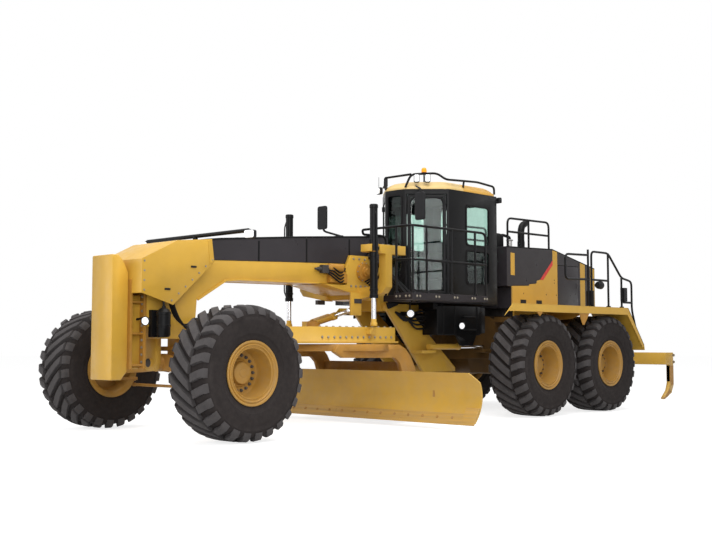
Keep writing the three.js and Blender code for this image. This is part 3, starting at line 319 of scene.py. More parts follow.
class Piece:
    """One visible piece, drawn from closed shapes in axle coordinates, that rides on a CAD body."""

    made = []

    def __init__(self, name, body, material, replaces=(), bevel=0.0, smooth=38, segments=2):
        self.name, self.body, self.material = name, body, material
        self.replaced, self.bevel, self.smooth, self.segments = replaces, bevel, smooth, segments
        self.bm = bmesh.new()
        Piece.made.append(self)

    def plate(self, axis, outline, low, high):
        place = {
            "x": lambda u, v, w: (w, u, v), "y": lambda u, v, w: (u, w, v), "z": lambda u, v, w: (u, v, w),
        }[axis]
        ends = [[self.bm.verts.new(place(u, v, w)) for u, v in outline] for w in (low, high)]
        self.skin(ends, True)
        return self

    def box(self, x0, x1, y0, y1, z0, z1):
        return self.plate("x", [(y0, z0), (y1, z0), (y1, z1), (y0, z1)], min(x0, x1), max(x0, x1))

    def skin(self, rings, capped, closed=False):
        bm = self.bm
        pairs = list(zip(rings, rings[1:]))
        if closed:
            pairs.append((rings[-1], rings[0]))
        for a, b in pairs:
            for i in range(len(a)):
                j = (i + 1) % len(a)
                bm.faces.new((a[i], a[j], b[j], b[i]))
        if capped:
            bm.faces.new(rings[0][::-1])
            bm.faces.new(rings[-1])

    def pipe(self, points, radius, bend=0.08, sides=10, turns=4):
        path = rounded(points, bend, turns) if len(points) > 2 else [Vector(p) for p in points]
        normal = (path[1] - path[0]).orthogonal()
        rings = []
        for i, p in enumerate(path):
            way = (path[min(i + 1, len(path) - 1)] - path[max(i - 1, 0)]).normalized()
            normal = (normal - way * normal.dot(way)).normalized()
            side = way.cross(normal)
            rings.append(
                [self.bm.verts.new(p + normal * radius * c + side * radius * s) for c, s in circle(sides)]
            )
        self.skin(rings, True)
        return self

    def turned(self, start, way, profile, sides=28, closed=False):
        """Turns a profile of (distance along, radius) round the line that starts at a point."""
        start, way = Vector(start), Vector(way).normalized()
        normal = way.orthogonal().normalized()
        side = way.cross(normal)
        rings = []
        for along, radius in profile:
            middle = start + way * along
            rings.append(
                [self.bm.verts.new(middle + (normal * c + side * s) * radius) for c, s in circle(sides)]
            )
        self.skin(rings, not closed, closed)
        return self

    def rod(self, a, b, radius, sides=24, edge=0.006):
        a, b = Vector(a), Vector(b)
        length = (b - a).length
        edge = min(edge, radius * 0.4, length * 0.3)
        profile = [(0, radius - edge), (edge, radius), (length - edge, radius), (length, radius - edge)]
        return self.turned(a, b - a, profile, sides)

    def bolt(self, at, way, radius=0.02, height=0.016):
        at, way = Vector(at), Vector(way).normalized()
        self.turned(at - way * 0.004, way, [(0, radius * 1.35), (0.008, radius * 1.35)], 12)
        return self.turned(at, way, [(0, radius), (height, radius), (height + 0.003, radius * 0.8)], 6)

    def finish(self):
        bm = self.bm
        bmesh.ops.translate(bm, vec=(0, AXLE_Y, 0), verts=bm.verts)
        obj = bpy.data.objects.new(self.name, to_mesh(bm, self.name))
        return dress(obj, self.material, self.body, self.replaced, self.bevel, self.smooth, self.segments)


def soften(obj, bevel, smooth, segments=2):
    """Smooth shading with sharp edges past an angle, and those edges beveled."""
    mesh = obj.data
    mesh.polygons.foreach_set("use_smooth", [True] * len(mesh.polygons))
    mesh.set_sharp_from_angle(angle=math.radians(smooth))
    if bevel:
        edge = obj.modifiers.new("edges", "BEVEL")
        edge.width = bevel
        edge.segments = segments
        edge.limit_method = "ANGLE"
        edge.angle_limit = math.radians(smooth)
        edge.harden_normals = True


def dress(obj, material, body, replaced=(), bevel=0.0, smooth=38, segments=2):
    bpy.context.scene.collection.objects.link(obj)
    if not obj.data.materials:
        obj.data.materials.append(material)
    soften(obj, bevel, smooth, segments)
    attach(obj, body)
    if replaced:
        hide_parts(*replaced)
    return obj


def repaint(node, material, bevel=0.008, smooth=30):
    """A better finish, and small bevels, on a CAD node that stays."""
    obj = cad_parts[node]
    obj.data.materials.clear()
    obj.data.materials.append(material)
    if bevel:
        obj.modifiers.new("weld", "WELD").merge_threshold = WELD_DISTANCE
    soften(obj, bevel, smooth)


# ------------------------------------------------------------------ camera, light and floor
# Fitted to the wheels, the frame and the cab in the photograph. Degrees, millimetres of lens, metres.
CAMERA_YAW, CAMERA_PITCH = 44.47, 4.03
CAMERA_LENS, CAMERA_SENSOR = 53.35, 36
CAMERA_PLACE = (13.346, -15.231, 1.401)


def add_camera():
    data = bpy.data.cameras.new("camera")
    data.sensor_width = CAMERA_SENSOR
    data.lens = CAMERA_LENS
    camera = bpy.data.objects.new("camera", data)
    yaw, pitch = math.radians(CAMERA_YAW), math.radians(CAMERA_PITCH)
    ahead = Vector((-math.sin(yaw) * math.cos(pitch), math.cos(yaw) * math.cos(pitch), math.sin(pitch)))
    camera.location = CAMERA_PLACE
    camera.rotation_mode = "QUATERNION"
    camera.rotation_quaternion = ahead.to_track_quat("-Z", "Y")
    bpy.context.scene.collection.objects.link(camera)
    bpy.context.scene.camera = camera


def add_area_light(name, at, size, watts, aim=(0, 0, 1.6)):
    data = bpy.data.lights.new(name, "AREA")
    data.shape = "RECTANGLE"
    data.size, data.size_y = size
    data.energy = watts
    light = bpy.data.objects.new(name, data)
    light.location = at
    light.rotation_mode = "QUATERNION"
    light.rotation_quaternion = (Vector(aim) - Vector(at)).to_track_quat("-Z", "Y")
    bpy.context.scene.collection.objects.link(light)


def seen_mask(nodes, links):
    """One for rays that the camera, a mirror or a pane of glass sends straight out."""
    path = nodes.new("ShaderNodeLightPath")
    total = path.outputs["Is Camera Ray"]
    for ray in ("Is Glossy Ray", "Is Transmission Ray"):
        add = nodes.new("ShaderNodeMath")
        add.operation = "ADD"
        add.use_clamp = True
        links.new(total, add.inputs[0])
        links.new(path.outputs[ray], add.inputs[1])
        total = add.outputs[0]
    return total


def mix_where_seen(tree, plain, seen, output):
    """One shader for light that the object receives, another where the surface itself is looked at."""
    mix = tree.nodes.new("ShaderNodeMixShader")
    tree.links.new(seen_mask(tree.nodes, tree.links), mix.inputs[0])
    tree.links.new(plain.outputs[0], mix.inputs[1])
    tree.links.new(seen.outputs[0], mix.inputs[2])
    tree.links.new(mix.outputs[0], tree.nodes[output].inputs["Surface"])


def add_world():
    world = bpy.data.worlds.new("studio")
    bpy.context.scene.world = world
    world.use_nodes = True
    nodes = world.node_tree.nodes
    fill = nodes["Background"]
    fill.inputs["Color"].default_value = (1, 1, 1, 1)
    fill.inputs["Strength"].default_value = 0.42
    plain = nodes.new("ShaderNodeBackground")
    plain.inputs["Color"].default_value = (1, 1, 1, 1)
    plain.inputs["Strength"].default_value = 1.0
    mix_where_seen(world.node_tree, fill, plain, "World Output")


def add_floor():
    bm = bmesh.new()
    rings = []
    for radius in (12, 30, 60, 90):
        rings.append([bm.verts.new((radius * c, radius * s, -0.002)) for c, s in circle(48)])
    bm.faces.new(rings[0])
    for inner, outer in zip(rings, rings[1:]):
        for i in range(48):
            bm.faces.new((inner[i], outer[i], outer[(i + 1) % 48], inner[(i + 1) % 48]))
    mesh = to_mesh(bm, "studio_floor", recalc=False)
    floor = bpy.data.objects.new("studio_floor", mesh)
    bpy.context.scene.collection.objects.link(floor)
    mat = bpy.data.materials.new("studio_floor")
    mat.use_nodes = True
    nodes, links = mat.node_tree.nodes, mat.node_tree.links
    matt = nodes.new("ShaderNodeBsdfDiffuse")
    matt.inputs["Color"].default_value = (0.62, 0.62, 0.62, 1)
    shown = nodes.new("ShaderNodeBsdfDiffuse")
    shown.inputs["Color"].default_value = (0.5, 0.5, 0.5, 1)
    glow = nodes.new("ShaderNodeEmission")
    glow.inputs["Strength"].default_value = 0.78
    both = nodes.new("ShaderNodeAddShader")
    links.new(shown.outputs[0], both.inputs[0])
    links.new(glow.outputs[0], both.inputs[1])
    mix_where_seen(mat.node_tree, matt, both, "Material Output")
    mesh.materials.append(mat)


add_camera()
add_world()
add_floor()
add_area_light("overhead", (4, -3, 13), (12, 16), 2000, (0, 0, 1))
add_area_light("front_left", (13, -14, 6), (9, 7), 920, (0, -2, 1.4))
add_area_light("front_right", (-6, -17, 6), (9, 6), 560, (0, -2, 1.6))


# ------------------------------------------------------------------ wheels
PITCHES = 26


def tread_radius(x):
    x = abs(x)
    curve = [(0, 0.9585), (0.2, 0.957), (0.3, 0.948), (0.35, 0.93), (0.38, 0.89), (0.392, 0.84), (0.393, 0.8)]
    for (a, ra), (b, rb) in zip(curve, curve[1:]):
        if x <= b:
            return ra + (rb - ra) * (x - a) / (b - a)
    return 0.8


def tyre_mesh(side):
    """Carcass and tread blocks of one tyre round its own centre; the blocks point one way."""
    bm = bmesh.new()
    half = [
        (0.30, 0.445), (0.33, 0.455), (0.347, 0.5), (0.362, 0.545), (0.372, 0.552), (0.38, 0.6),
        (0.389, 0.65), (0.391, 0.72), (0.385, 0.785), (0.388, 0.79), (0.384, 0.81), (0.372, 0.85),
        (0.345, 0.876), (0.29, 0.89), (0.15, 0.896), (0, 0.898),
    ]
    profile = half + [(-x, r) for x, r in half[-2::-1]]
    turns = 104
    rings = []
    for i in range(turns):
        a = math.tau * i / turns
        rings.append([bm.verts.new((x, -r * math.cos(a), r * math.sin(a))) for x, r in profile])
    for i in range(turns):
        a, b = rings[i], rings[(i + 1) % turns]
        for j in range(len(profile)):
            k = (j + 1) % len(profile)
            bm.faces.new((a[j], b[j], b[k], a[k]))

    def block(stations):
        previous = None
        for x, drop, turn, half_width in stations:
            top = tread_radius(x) - drop
            low = top - 0.075 + drop * 0.5
            if abs(x) > 0.37:
                low = top - 0.03
            ring = []
            for r, a, in (
                (low, -half_width - 0.012), (top, -half_width), (top, half_width), (low, half_width + 0.012),
            ):
                angle = turn + a
                lean = side * x
                ring.append(bm.verts.new((lean, -r * math.cos(angle), r * math.sin(angle))))
            if previous:
                for j in range(4):
                    k = (j + 1) % 4
                    bm.faces.new((previous[j], previous[k], ring[k], ring[j]))
            else:
                bm.faces.new(ring[::-1])
            previous = ring
        bm.faces.new(previous)

    for i in range(PITCHES):
        a = math.tau * i / PITCHES
        way = (0, 0.25, 0.5, 0.75, 1)
        block([(-0.3 + 0.42 * t, 0.002, a + 0.17 - 0.34 * t, 0.07 - 0.012 * abs(t - 0.5)) for t in way])
        outer = ((0.165, 0.0), (0.27, 0.04), (0.345, 0.07), (0.372, 0.075), (0.3905, 0.08))
        block([(x, 0.003, a - 0.17 + 0.12 + t, 0.06 if x < 0.36 else 0.068) for x, t in outer])
        inner = ((-0.335, 0.0), (-0.36, 0.005), (-0.38, 0.012), (-0.3915, 0.015))
        block([(x, 0.003, a + 0.17 + t, 0.068) for x, t in inner])
    mesh = to_mesh(bm, "tyre_shape", RUBBER, TREAD)
    carcass = turns * len(profile)
    for polygon in mesh.polygons:
        polygon.material_index = 1 if polygon.index >= carcass else 0
    return mesh


def turned_mesh(name, side, profile, material, sides=72):
    bm = bmesh.new()
    rings = []
    for x, r in profile:
        rings.append([bm.verts.new((side * x, -r * c, r * s)) for c, s in circle(sides)])
    for a, b in zip(rings, rings[1:]):
        for i in range(sides):
            j = (i + 1) % sides
            bm.faces.new((a[i], a[j], b[j], b[i]))
    bm.faces.new(rings[0][::-1])
    bm.faces.new(rings[-1])
    return to_mesh(bm, name, material)


RIM_PROFILE = [
    (-0.03, 0.02), (-0.03, 0.338), (-0.05, 0.345), (-0.31, 0.353), (-0.33, 0.37), (-0.335, 0.4),
    (-0.35, 0.42), (-0.35, 0.452), (-0.34, 0.457), (-0.325, 0.452), (-0.312, 0.425), (-0.3, 0.385),
    (0.3, 0.385), (0.312, 0.425), (0.325, 0.45), (0.338, 0.457), (0.35, 0.455), (0.356, 0.446),
    (0.352, 0.428), (0.338, 0.42), (0.334, 0.408), (0.346, 0.403), (0.349, 0.392), (0.34, 0.383),
    (0.326, 0.378), (0.324, 0.362), (0.333, 0.356), (0.331, 0.347), (0.31, 0.341), (0.06, 0.335),
    (0.035, 0.322), (0.03, 0.3), (0.03, 0.205), (0.05, 0.19), (0.055, 0.17), (0.1, 0.155), (0.118, 0.148),
    (0.122, 0.13), (0.118, 0.06), (0.124, 0.055), (0.124, 0.012),
]
# the radius of the circle of wheel nuts
NUT_RING = 0.248


def nut_mesh(side):
    bm = bmesh.new()
    for i in range(18):
        a = math.tau * i / 18
        centre = Vector((0, -NUT_RING * math.cos(a), NUT_RING * math.sin(a)))
        previous = None
        for x, r in ((0.02, 0.027), (0.036, 0.027), (0.037, 0.018), (0.062, 0.018), (0.066, 0.012)):
            ring = []
            for s in range(6):
                t = math.tau * s / 6
                ring.append(bm.verts.new((side * x, centre.y + r * math.cos(t), centre.z + r * math.sin(t))))
            if previous:
                for j in range(6):
                    bm.faces.new((previous[j], previous[(j + 1) % 6], ring[(j + 1) % 6], ring[j]))
            else:
                bm.faces.new(ring[::-1])
            previous = ring
        bm.faces.new(previous)
    return to_mesh(bm, "wheel_nuts_shape", IRON)


def add_wheels():
    for label, side in SIDES:
        tyre, rim = tyre_mesh(side), turned_mesh("rim_shape", side, RIM_PROFILE, RIM_PAINTED_SHADE)
        nuts = nut_mesh(side)
        for place in ("front", "middle", "rear"):
            name = f"{place}_{label}"
            body = "wheel_" + name
            centre = centre_of("rim_" + name)
            centre.x = centre_of("tyre_" + name).x
            parts = (
                ("tyre", tyre, ("tyre_" + name,), 0.006, RUBBER), ("rim", rim, ("rim_" + name,), 0.0, RIM_PAINTED_SHADE),
                ("wheel_nuts", nuts, (), 0.0, IRON),
            )
            for kind, mesh, replaced, bevel, material in parts:
                obj = bpy.data.objects.new(f"{kind}_{name}_look", mesh)
                obj.location = centre
                dress(obj, material, body, replaced, bevel, 42, 1)


# ------------------------------------------------------------------ shared details
def lamp(name, body, centre, way, radius=0.07, depth=0.09, lens=None):
    """A round lamp: cup, bezel and lens, looking along a direction."""
    centre, way = Vector(centre), Vector(way).normalized()
    cup = Piece(name + "_housing", body, PLASTIC, smooth=50)
    back = centre - way * depth
    cup.turned(back, way, [
        (0, radius * 0.35), (depth * 0.1, radius * 0.6), (depth * 0.55, radius * 0.97),
        (depth, radius * 1.06), (depth + 0.008, radius * 1.06), (depth + 0.01, radius * 0.94),
        (depth - 0.006, radius * 0.92), (depth - 0.006, 0.002),
    ], 28)
    glass = Piece(name + "_lens", body, lens or LENS, smooth=60)
    glass.turned(centre - way * 0.005, way, [
        (0, radius * 0.9), (0.006, radius * 0.9), (0.013, radius * 0.6), (0.015, radius * 0.25),
        (0.0155, 0.004),
    ], 28)


def box_lamp(name, body, centre, way, half_width, half_height, depth):
    """A square work lamp with a rounded housing and a clear lens wrapped over its front edge."""
    centre, way = Vector(centre), Vector(way).normalized()
    across = way.cross(Vector((0, 0, 1))).normalized()

    def at(u, v, w):
        p = centre + across * u - way * w
        return (p.x, p.y, centre.z + v)

    cup = Piece(name + "_housing", body, PLASTIC, bevel=0.012)
    pane(cup, at, -half_width, half_width, -half_height, half_height, 0.03, depth, 0.03)
    glass = Piece(name + "_lens", body, LENS, bevel=0.01)
    pane(
        glass, at, -half_width + 0.006, half_width - 0.006, -half_height + 0.006, half_height - 0.006, 0.0,
        0.034, 0.03,
    )


def bolts_along(piece, a, b, count, way, radius=0.02, height=0.014):
    a, b = Vector(a), Vector(b)
    for i in range(count):
        piece.bolt(a.lerp(b, i / max(1, count - 1)), way, radius, height)


def bolt_ring(piece, centre, way, ring, count, radius, height):
    """Bolts evenly round a centre, on a face that looks along x or z."""
    x, y, z = centre
    for c, s in circle(count):
        u, v = ring * c, ring * s
        piece.bolt((x + u, y + v, z) if way[2] else (x, y + u, z + v), way, radius, height)


def rail_pipes(piece, paths, radius=0.022, bend=0.12):
    for path in paths:
        piece.pipe(path, radius, bend, 10, 4)


# ------------------------------------------------------------------ front end
def add_front():
    repaint("counterweight", YELLOW, 0.018)
    repaint("nose_cover", YELLOW, 0.008)
    repaint("main_frame", YELLOW, 0.01)
    for label, k in SIDES:
        flange = Piece("front_column_" + label, "front_frame", YELLOW_PAINTED_SHADE, bevel=0.005)
        flange.box(k * 0.205, k * 0.33, -0.832, -0.79, 1.0, 2.3)
        flange.box(k * 0.205, k * 0.33, -0.6, -0.556, 1.0, 2.2)
        for z in (1.04, 1.5, 1.96):
            flange.box(k * 0.205, k * 0.31, -0.8, -0.59, z, z + 0.03)
        studs = Piece("front_column_bolts_" + label, "front_frame", BOLT, smooth=30)
        bolts_along(studs, (k * 0.285, -0.79, 1.1), (k * 0.285, -0.79, 2.24), 12, (0, 1, 0), 0.017)
        bolts_along(studs, (k * 0.285, -0.6, 1.1), (k * 0.285, -0.6, 2.16), 11, (0, -1, 0), 0.017)
        bolts_along(studs, (k * 0.58, -0.29, 2.0), (k * 0.58, 0.45, 2.64), 7, (k, 0, 0), 0.012, 0.008)
        bolts_along(studs, (k * 0.58, -0.77, 2.14), (k * 0.58, -0.77, 2.56), 4, (k, 0, 0), 0.012, 0.008)
    band = Piece("nose_cover_edge", "front_frame", YELLOW, bevel=0.004)
    band.plate("x", [(0.405, 2.575), (0.475, 2.62), (0.43, 2.945), (0.36, 2.93)], -0.586, 0.586)
    latch = Piece("nose_cover_latches", "front_frame", PLASTIC, bevel=0.004)
    for _, k in SIDES:
        latch.box(k * 0.578, k * 0.592, -0.42, -0.32, 2.15, 2.18)
        latch.box(k * 0.578, k * 0.592, 0.05, 0.15, 2.5, 2.53)
    lamp("nose_work_lamp_left", "front_frame", (0.66, -0.8, 1.69), (0.5, -1, -0.1), 0.062, 0.08)
    lamp("nose_work_lamp_right", "front_frame", (-0.66, -0.8, 1.69), (-0.5, -1, -0.1), 0.062, 0.08)
    bracket = Piece("nose_brackets", "front_frame", BLACK, bevel=0.003)
    for _, k in SIDES:
        bracket.pipe([(k * 0.3, -0.7, 1.72), (k * 0.5, -0.7, 1.74), (k * 0.62, -0.73, 1.7)], 0.018, 0.06)
        bracket.box(k * 0.33, k * 0.5, -0.47, -0.37, 1.5, 1.53)
        bracket.box(k * 0.33, k * 0.5, -0.47, -0.37, 1.78, 1.81)
        bracket.box(k * 0.33, k * 0.42, -0.52, -0.33, 1.46, 1.86)
    canister = Piece("nose_canisters", "front_frame", BLACK, smooth=40)
    for _, k in SIDES:
        canister.turned((k * 0.57, -0.42, 1.46), (0, 0, 1), [
            (0, 0.03), (0.005, 0.085), (0.03, 0.1), (0.15, 0.1), (0.155, 0.106), (0.185, 0.106), (0.19, 0.1),
            (0.33, 0.1), (0.335, 0.106), (0.365, 0.106), (0.37, 0.098), (0.41, 0.07), (0.43, 0.03),
            (0.455, 0.028),
        ])
    hoses = Piece("nose_hoses", "front_frame", HOSE, smooth=60)
    for _, k in SIDES:
        for i in range(3):
            s = 0.045 * i
            hoses.pipe([
                (k * (0.36 + s), 0.3, 1.75), (k * (0.4 + s), 0.1, 1.62 - s), (k * (0.44 + s), -0.14, 1.75),
                (k * (0.4 + s), -0.25, 2.1), (k * (0.37 + s), -0.1, 2.2),
            ], 0.016, 0.2, 8)
        hoses.pipe([
            (k * 0.57, -0.42, 1.9), (k * 0.56, -0.42, 2.02), (k * 0.45, -0.36, 2.1), (k * 0.36, -0.3, 2.1),
        ], 0.018, 0.1)


def add_frame_cover():
    cover = Piece("frame_cover_look", "front_frame", COVER, ("frame_cover",), 0.012)
    cover.plate("x", [
        (0.5, 2.652), (2.47, 2.72), (3.53, 2.75), (4.638, 2.752), (4.638, 3.3), (2.47, 3.14), (0.79, 2.995),
        (0.56, 2.97), (0.5, 2.9),
    ], -0.348, 0.348)
    top = Piece("frame_cover_top", "front_frame", BLACK, bevel=0.008)
    top.plate("x", [
        (0.52, 2.95), (0.79, 2.985), (2.47, 3.128), (4.638, 3.285), (4.638, 3.318), (2.47, 3.158),
        (0.78, 3.014), (0.52, 2.982),
    ], -0.354, 0.354)
    for y in (1.15, 2.35, 3.5):
        rise = 3.01 + (y - 0.78) * 0.0858
        top.plate("x", [
            (y, rise), (y + 0.04, rise + 0.003), (y + 0.04, rise + 0.012), (y, rise + 0.009),
        ], -0.3, 0.3)
    seams = Piece("frame_cover_straps", "front_frame", BLACK, bevel=0.002)
    for y, low, high in ((1.55, 2.69, 3.02), (2.6, 2.725, 3.12), (3.62, 2.755, 3.19)):
        seams.box(-0.352, 0.352, y, y + 0.035, low, high)
    bar = Piece("front_lamp_bar", "front_frame", BLACK, smooth=50)
    bar.pipe([(-1.3, 0.56, 3.045), (1.3, 0.56, 3.045)], 0.032, sides=12)
    bar.pipe([(0, 0.56, 2.95), (0, 0.56, 3.05)], 0.04)
    for _, k in SIDES:
        bar.pipe([(k * 1.28, 0.56, 3.045), (k * 1.365, 0.56, 3.04), (k * 1.365, 0.575, 2.98)], 0.02, 0.05)
    for label, k in SIDES:
        box_lamp(
            "front_lamp_" + label, "front_frame", (k * 1.365, 0.5, 2.985), (0.25, -1, 0), 0.085, 0.062, 0.1,
        )
    edge = Piece("frame_edges", "front_frame", YELLOW, bevel=0.003)
    for _, k in SIDES:
        edge.plate("x", [
            (0.36, 2.02), (0.9, 2.335), (1.18, 2.362), (2.9, 2.378), (2.9, 2.402), (1.17, 2.388),
            (0.89, 2.365), (0.35, 2.05),
        ], k * 0.338, k * 0.362)


def add_saddle():
    repaint("lift_saddle", YELLOW, 0.03)
    motor = Piece("saddle_motors", "front_frame", YELLOW_PAINTED_SHADE, smooth=35)
    bolts = Piece("saddle_bolts", "front_frame", BOLT, smooth=30)
    for _, k in SIDES:
        motor.turned((k * 0.425, 3.9, 2.62), (k, 0, 0), [
            (0, 0.17), (0.03, 0.17), (0.035, 0.15), (0.06, 0.148), (0.065, 0.09), (0.1, 0.085), (0.105, 0.06),
            (0.14, 0.055),
        ], 32)
        bolt_ring(bolts, (k * 0.455, 3.9, 2.62), (k, 0, 0), 0.158, 10, 0.011, 0.01)
        bolts_along(bolts, (k * 1.0, 3.66, 3.055), (k * 1.0, 4.22, 3.055), 5, (0, 0, 1), 0.02)
        bolts_along(bolts, (k * 0.46, 3.82, 2.33), (k * 0.86, 3.82, 2.36), 4, (0, 0, 1), 0.018)
        bolts_along(bolts, (k * 0.43, 3.6, 2.36), (k * 0.43, 4.18, 2.36), 6, (k, 0, 0), 0.018)
        bolts_along(bolts, (k * 0.43, 3.66, 2.84), (k * 0.43, 4.08, 2.84), 4, (k, 0, 0), 0.016)
    casting = Piece("saddle_castings", "front_frame", YELLOW_PAINTED_SHADE, bevel=0.01)
    bits = Piece("saddle_valves", "front_frame", IRON, bevel=0.006)
    hose = Piece("saddle_hoses", "front_frame", HOSE, smooth=60)
    for _, k in SIDES:
        casting.turned((k * 0.4, 3.4, 2.66), (0, -1, 0), [
            (0, 0.06), (0.01, 0.075), (0.3, 0.075), (0.32, 0.05), (0.34, 0.03),
        ], 24)
        casting.plate("x", [
            (3.1, 2.41), (3.5, 2.41), (3.5, 2.56), (3.4, 2.62), (3.16, 2.6), (3.1, 2.52),
        ], k * 0.342, k * 0.44)
        casting.box(k * 0.86, k * 1.14, 3.42, 3.58, 2.915, 2.925)
        bits.box(k * 0.342, k * 0.43, 2.92, 3.07, 2.56, 2.7)
        bits.turned((k * 0.38, 2.94, 2.63), (0, -1, 0), [
            (0, 0.035), (0.09, 0.035), (0.1, 0.02), (0.16, 0.018),
        ], 14)
        bits.box(k * 0.43, k * 0.5, 3.62, 3.8, 2.06, 2.14)
        for i in range(4):
            z = 2.5 + 0.055 * i
            hose.pipe([
                (k * 0.4, 3.05, 2.58 + 0.02 * i), (k * 0.47, 3.12, z), (k * 0.47, 3.3, z - 0.1),
                (k * 0.43, 3.42, z - 0.05), (k * 0.38, 3.5, z),
            ], 0.014, 0.16, 8)
        for i in range(4):
            y = 3.98 + 0.055 * i
            hose.pipe([
                (k * 0.352, y + 0.1, 2.95 - 0.04 * i), (k * 0.5, y + 0.05, 3.0 - 0.03 * i),
                (k * 0.62, y, 2.8 - 0.05 * i), (k * 0.56, y, 2.5), (k * 0.44, y - 0.05, 2.45 - 0.03 * i),
            ], 0.015, 0.2, 8)
        for i in range(3):
            x = k * (0.93 + 0.04 * i)
            hose.pipe([
                (x, 4.26, 2.98), (x, 4.42, 2.9), (x - k * 0.12, 4.44, 2.5), (x - k * 0.3, 4.36, 2.36),
                (k * 0.44, 4.2, 2.3),
            ], 0.015, 0.2, 8)


def add_lift_cylinders():
    for label, k in SIDES:
        x, y = k * 1.07, 3.5
        barrel = Piece(
            f"lift_barrel_{label}_look", "lift_barrel_" + label, BLACK, (f"lift_barrel_{label}",), smooth=40,
        )
        barrel.turned((x, y, 2.13), (0, 0, 1), [
            (0, 0.045), (0.0, 0.074), (0.06, 0.075), (0.065, 0.066), (0.12, 0.066), (0.125, 0.0745),
            (0.155, 0.0745), (0.16, 0.067), (0.7, 0.067), (0.705, 0.075), (1.0, 0.075), (1.005, 0.067),
            (1.53, 0.067), (1.535, 0.074), (1.585, 0.074), (1.6, 0.06), (1.6, 0.01),
        ], 32)
        way = Vector((k * 1.07, 3.05, 0)).normalized()
        centre = Vector((x, y, 2.98))
        barrel.turned(centre - way * 0.083, way, [
            (0, 0.038), (0.004, 0.042), (0.162, 0.042), (0.166, 0.038),
        ], 24)
        barrel.pipe([
            (x + k * 0.06, y - 0.02, 2.22), (x + k * 0.1, y - 0.03, 2.3), (x + k * 0.1, y - 0.03, 3.5),
            (x + k * 0.06, y - 0.02, 3.6),
        ], 0.012, 0.05)
        rod = Piece(f"lift_rod_{label}_look", "lift_rod_" + label, CHROME, (f"lift_rod_{label}",), smooth=40)
        rod.rod((x, y, 1.72), (x, y, 3.0), 0.041)
        knob = Piece(f"lift_rod_socket_{label}", "lift_rod_" + label, YELLOW, smooth=45)
        knob.turned((x, y, 1.655), (0, 0, 1), [
            (0, 0.045), (0.005, 0.056), (0.02, 0.06), (0.05, 0.06), (0.066, 0.05), (0.08, 0.046),
            (0.12, 0.045), (0.125, 0.04),
        ], 28)
    barrel = Piece("shift_barrel_look", "shift_barrel", YELLOW, ("shift_barrel",), smooth=40)
    a, b = Vector((-0.7, 3.65, 1.7)), Vector((0.34, 3.65, 1.93))
    way = (b - a).normalized()
    barrel.turned(a, way, [
        (0, 0.04), (0.003, 0.066), (0.06, 0.068), (0.065, 0.06), (0.62, 0.06), (0.625, 0.068), (0.7, 0.068),
        (0.706, 0.05), (0.71, 0.042),
    ], 32)
    barrel.pipe([
        a + way * 0.1 + Vector((0, -0.05, 0.03)), a + way * 0.14 + Vector((0, -0.09, 0.05)),
        a + way * 0.6 + Vector((0, -0.09, 0.05)), a + way * 0.64 + Vector((0, -0.05, 0.03)),
    ], 0.01, 0.03)
    repaint("shift_rod", CHROME, 0.004, 40)
    for label, k in SIDES:
        a, b = Vector((k * 0.62, 5.47, 1.3)), Vector((k * 0.56, 7.15, 1.3))
        way = (b - a).normalized()
        tube = Piece(
            f"articulation_barrel_{label}_look", "articulation_barrel_" + label, YELLOW,
            (f"articulation_barrel_{label}",), smooth=40,
        )
        tube.turned(a, way, [
            (-0.04, 0.03), (-0.038, 0.055), (0.04, 0.06), (0.045, 0.054), (0.82, 0.054), (0.825, 0.062),
            (0.89, 0.062), (0.9, 0.05), (0.9, 0.036),
        ], 32)
        repaint("articulation_rod_" + label, CHROME, 0.004, 40)
    repaint("ripper_barrel", YELLOW, 0.005, 40)
    repaint("ripper_rod", CHROME, 0.004, 40)


# ------------------------------------------------------------------ cab
SLANT_START = Vector((0.24, 5.2, 0))
SLANT_WAY = Vector((0.61, 0.58, 0)).normalized()
SLANT_IN = Vector((-SLANT_WAY.y, SLANT_WAY.x, 0))


def frame_ring(piece, place, u0, u1, v0, v1, width, w0, w1, radius=0.08):
    """A rectangular gasket with rounded corners; place maps (u, v, w) to a point."""
    outer = round_rect(u0, u1, v0, v1, radius + width)
    inner = round_rect(u0 + width, u1 - width, v0 + width, v1 - width, radius)
    rings = []
    for (pu, pv), (qu, qv) in zip(outer, inner):
        rings.append(
            [piece.bm.verts.new(place(*p)) for p in ((pu, pv, w0), (pu, pv, w1), (qu, qv, w1), (qu, qv, w0))]
        )
    piece.skin(rings, False, True)


def pane(piece, place, u0, u1, v0, v1, w0, w1, radius=0.08):
    outline = round_rect(u0, u1, v0, v1, radius)
    ends = [[piece.bm.verts.new(place(u, v, w)) for u, v in outline] for w in (w0, w1)]
    piece.skin(ends, True)


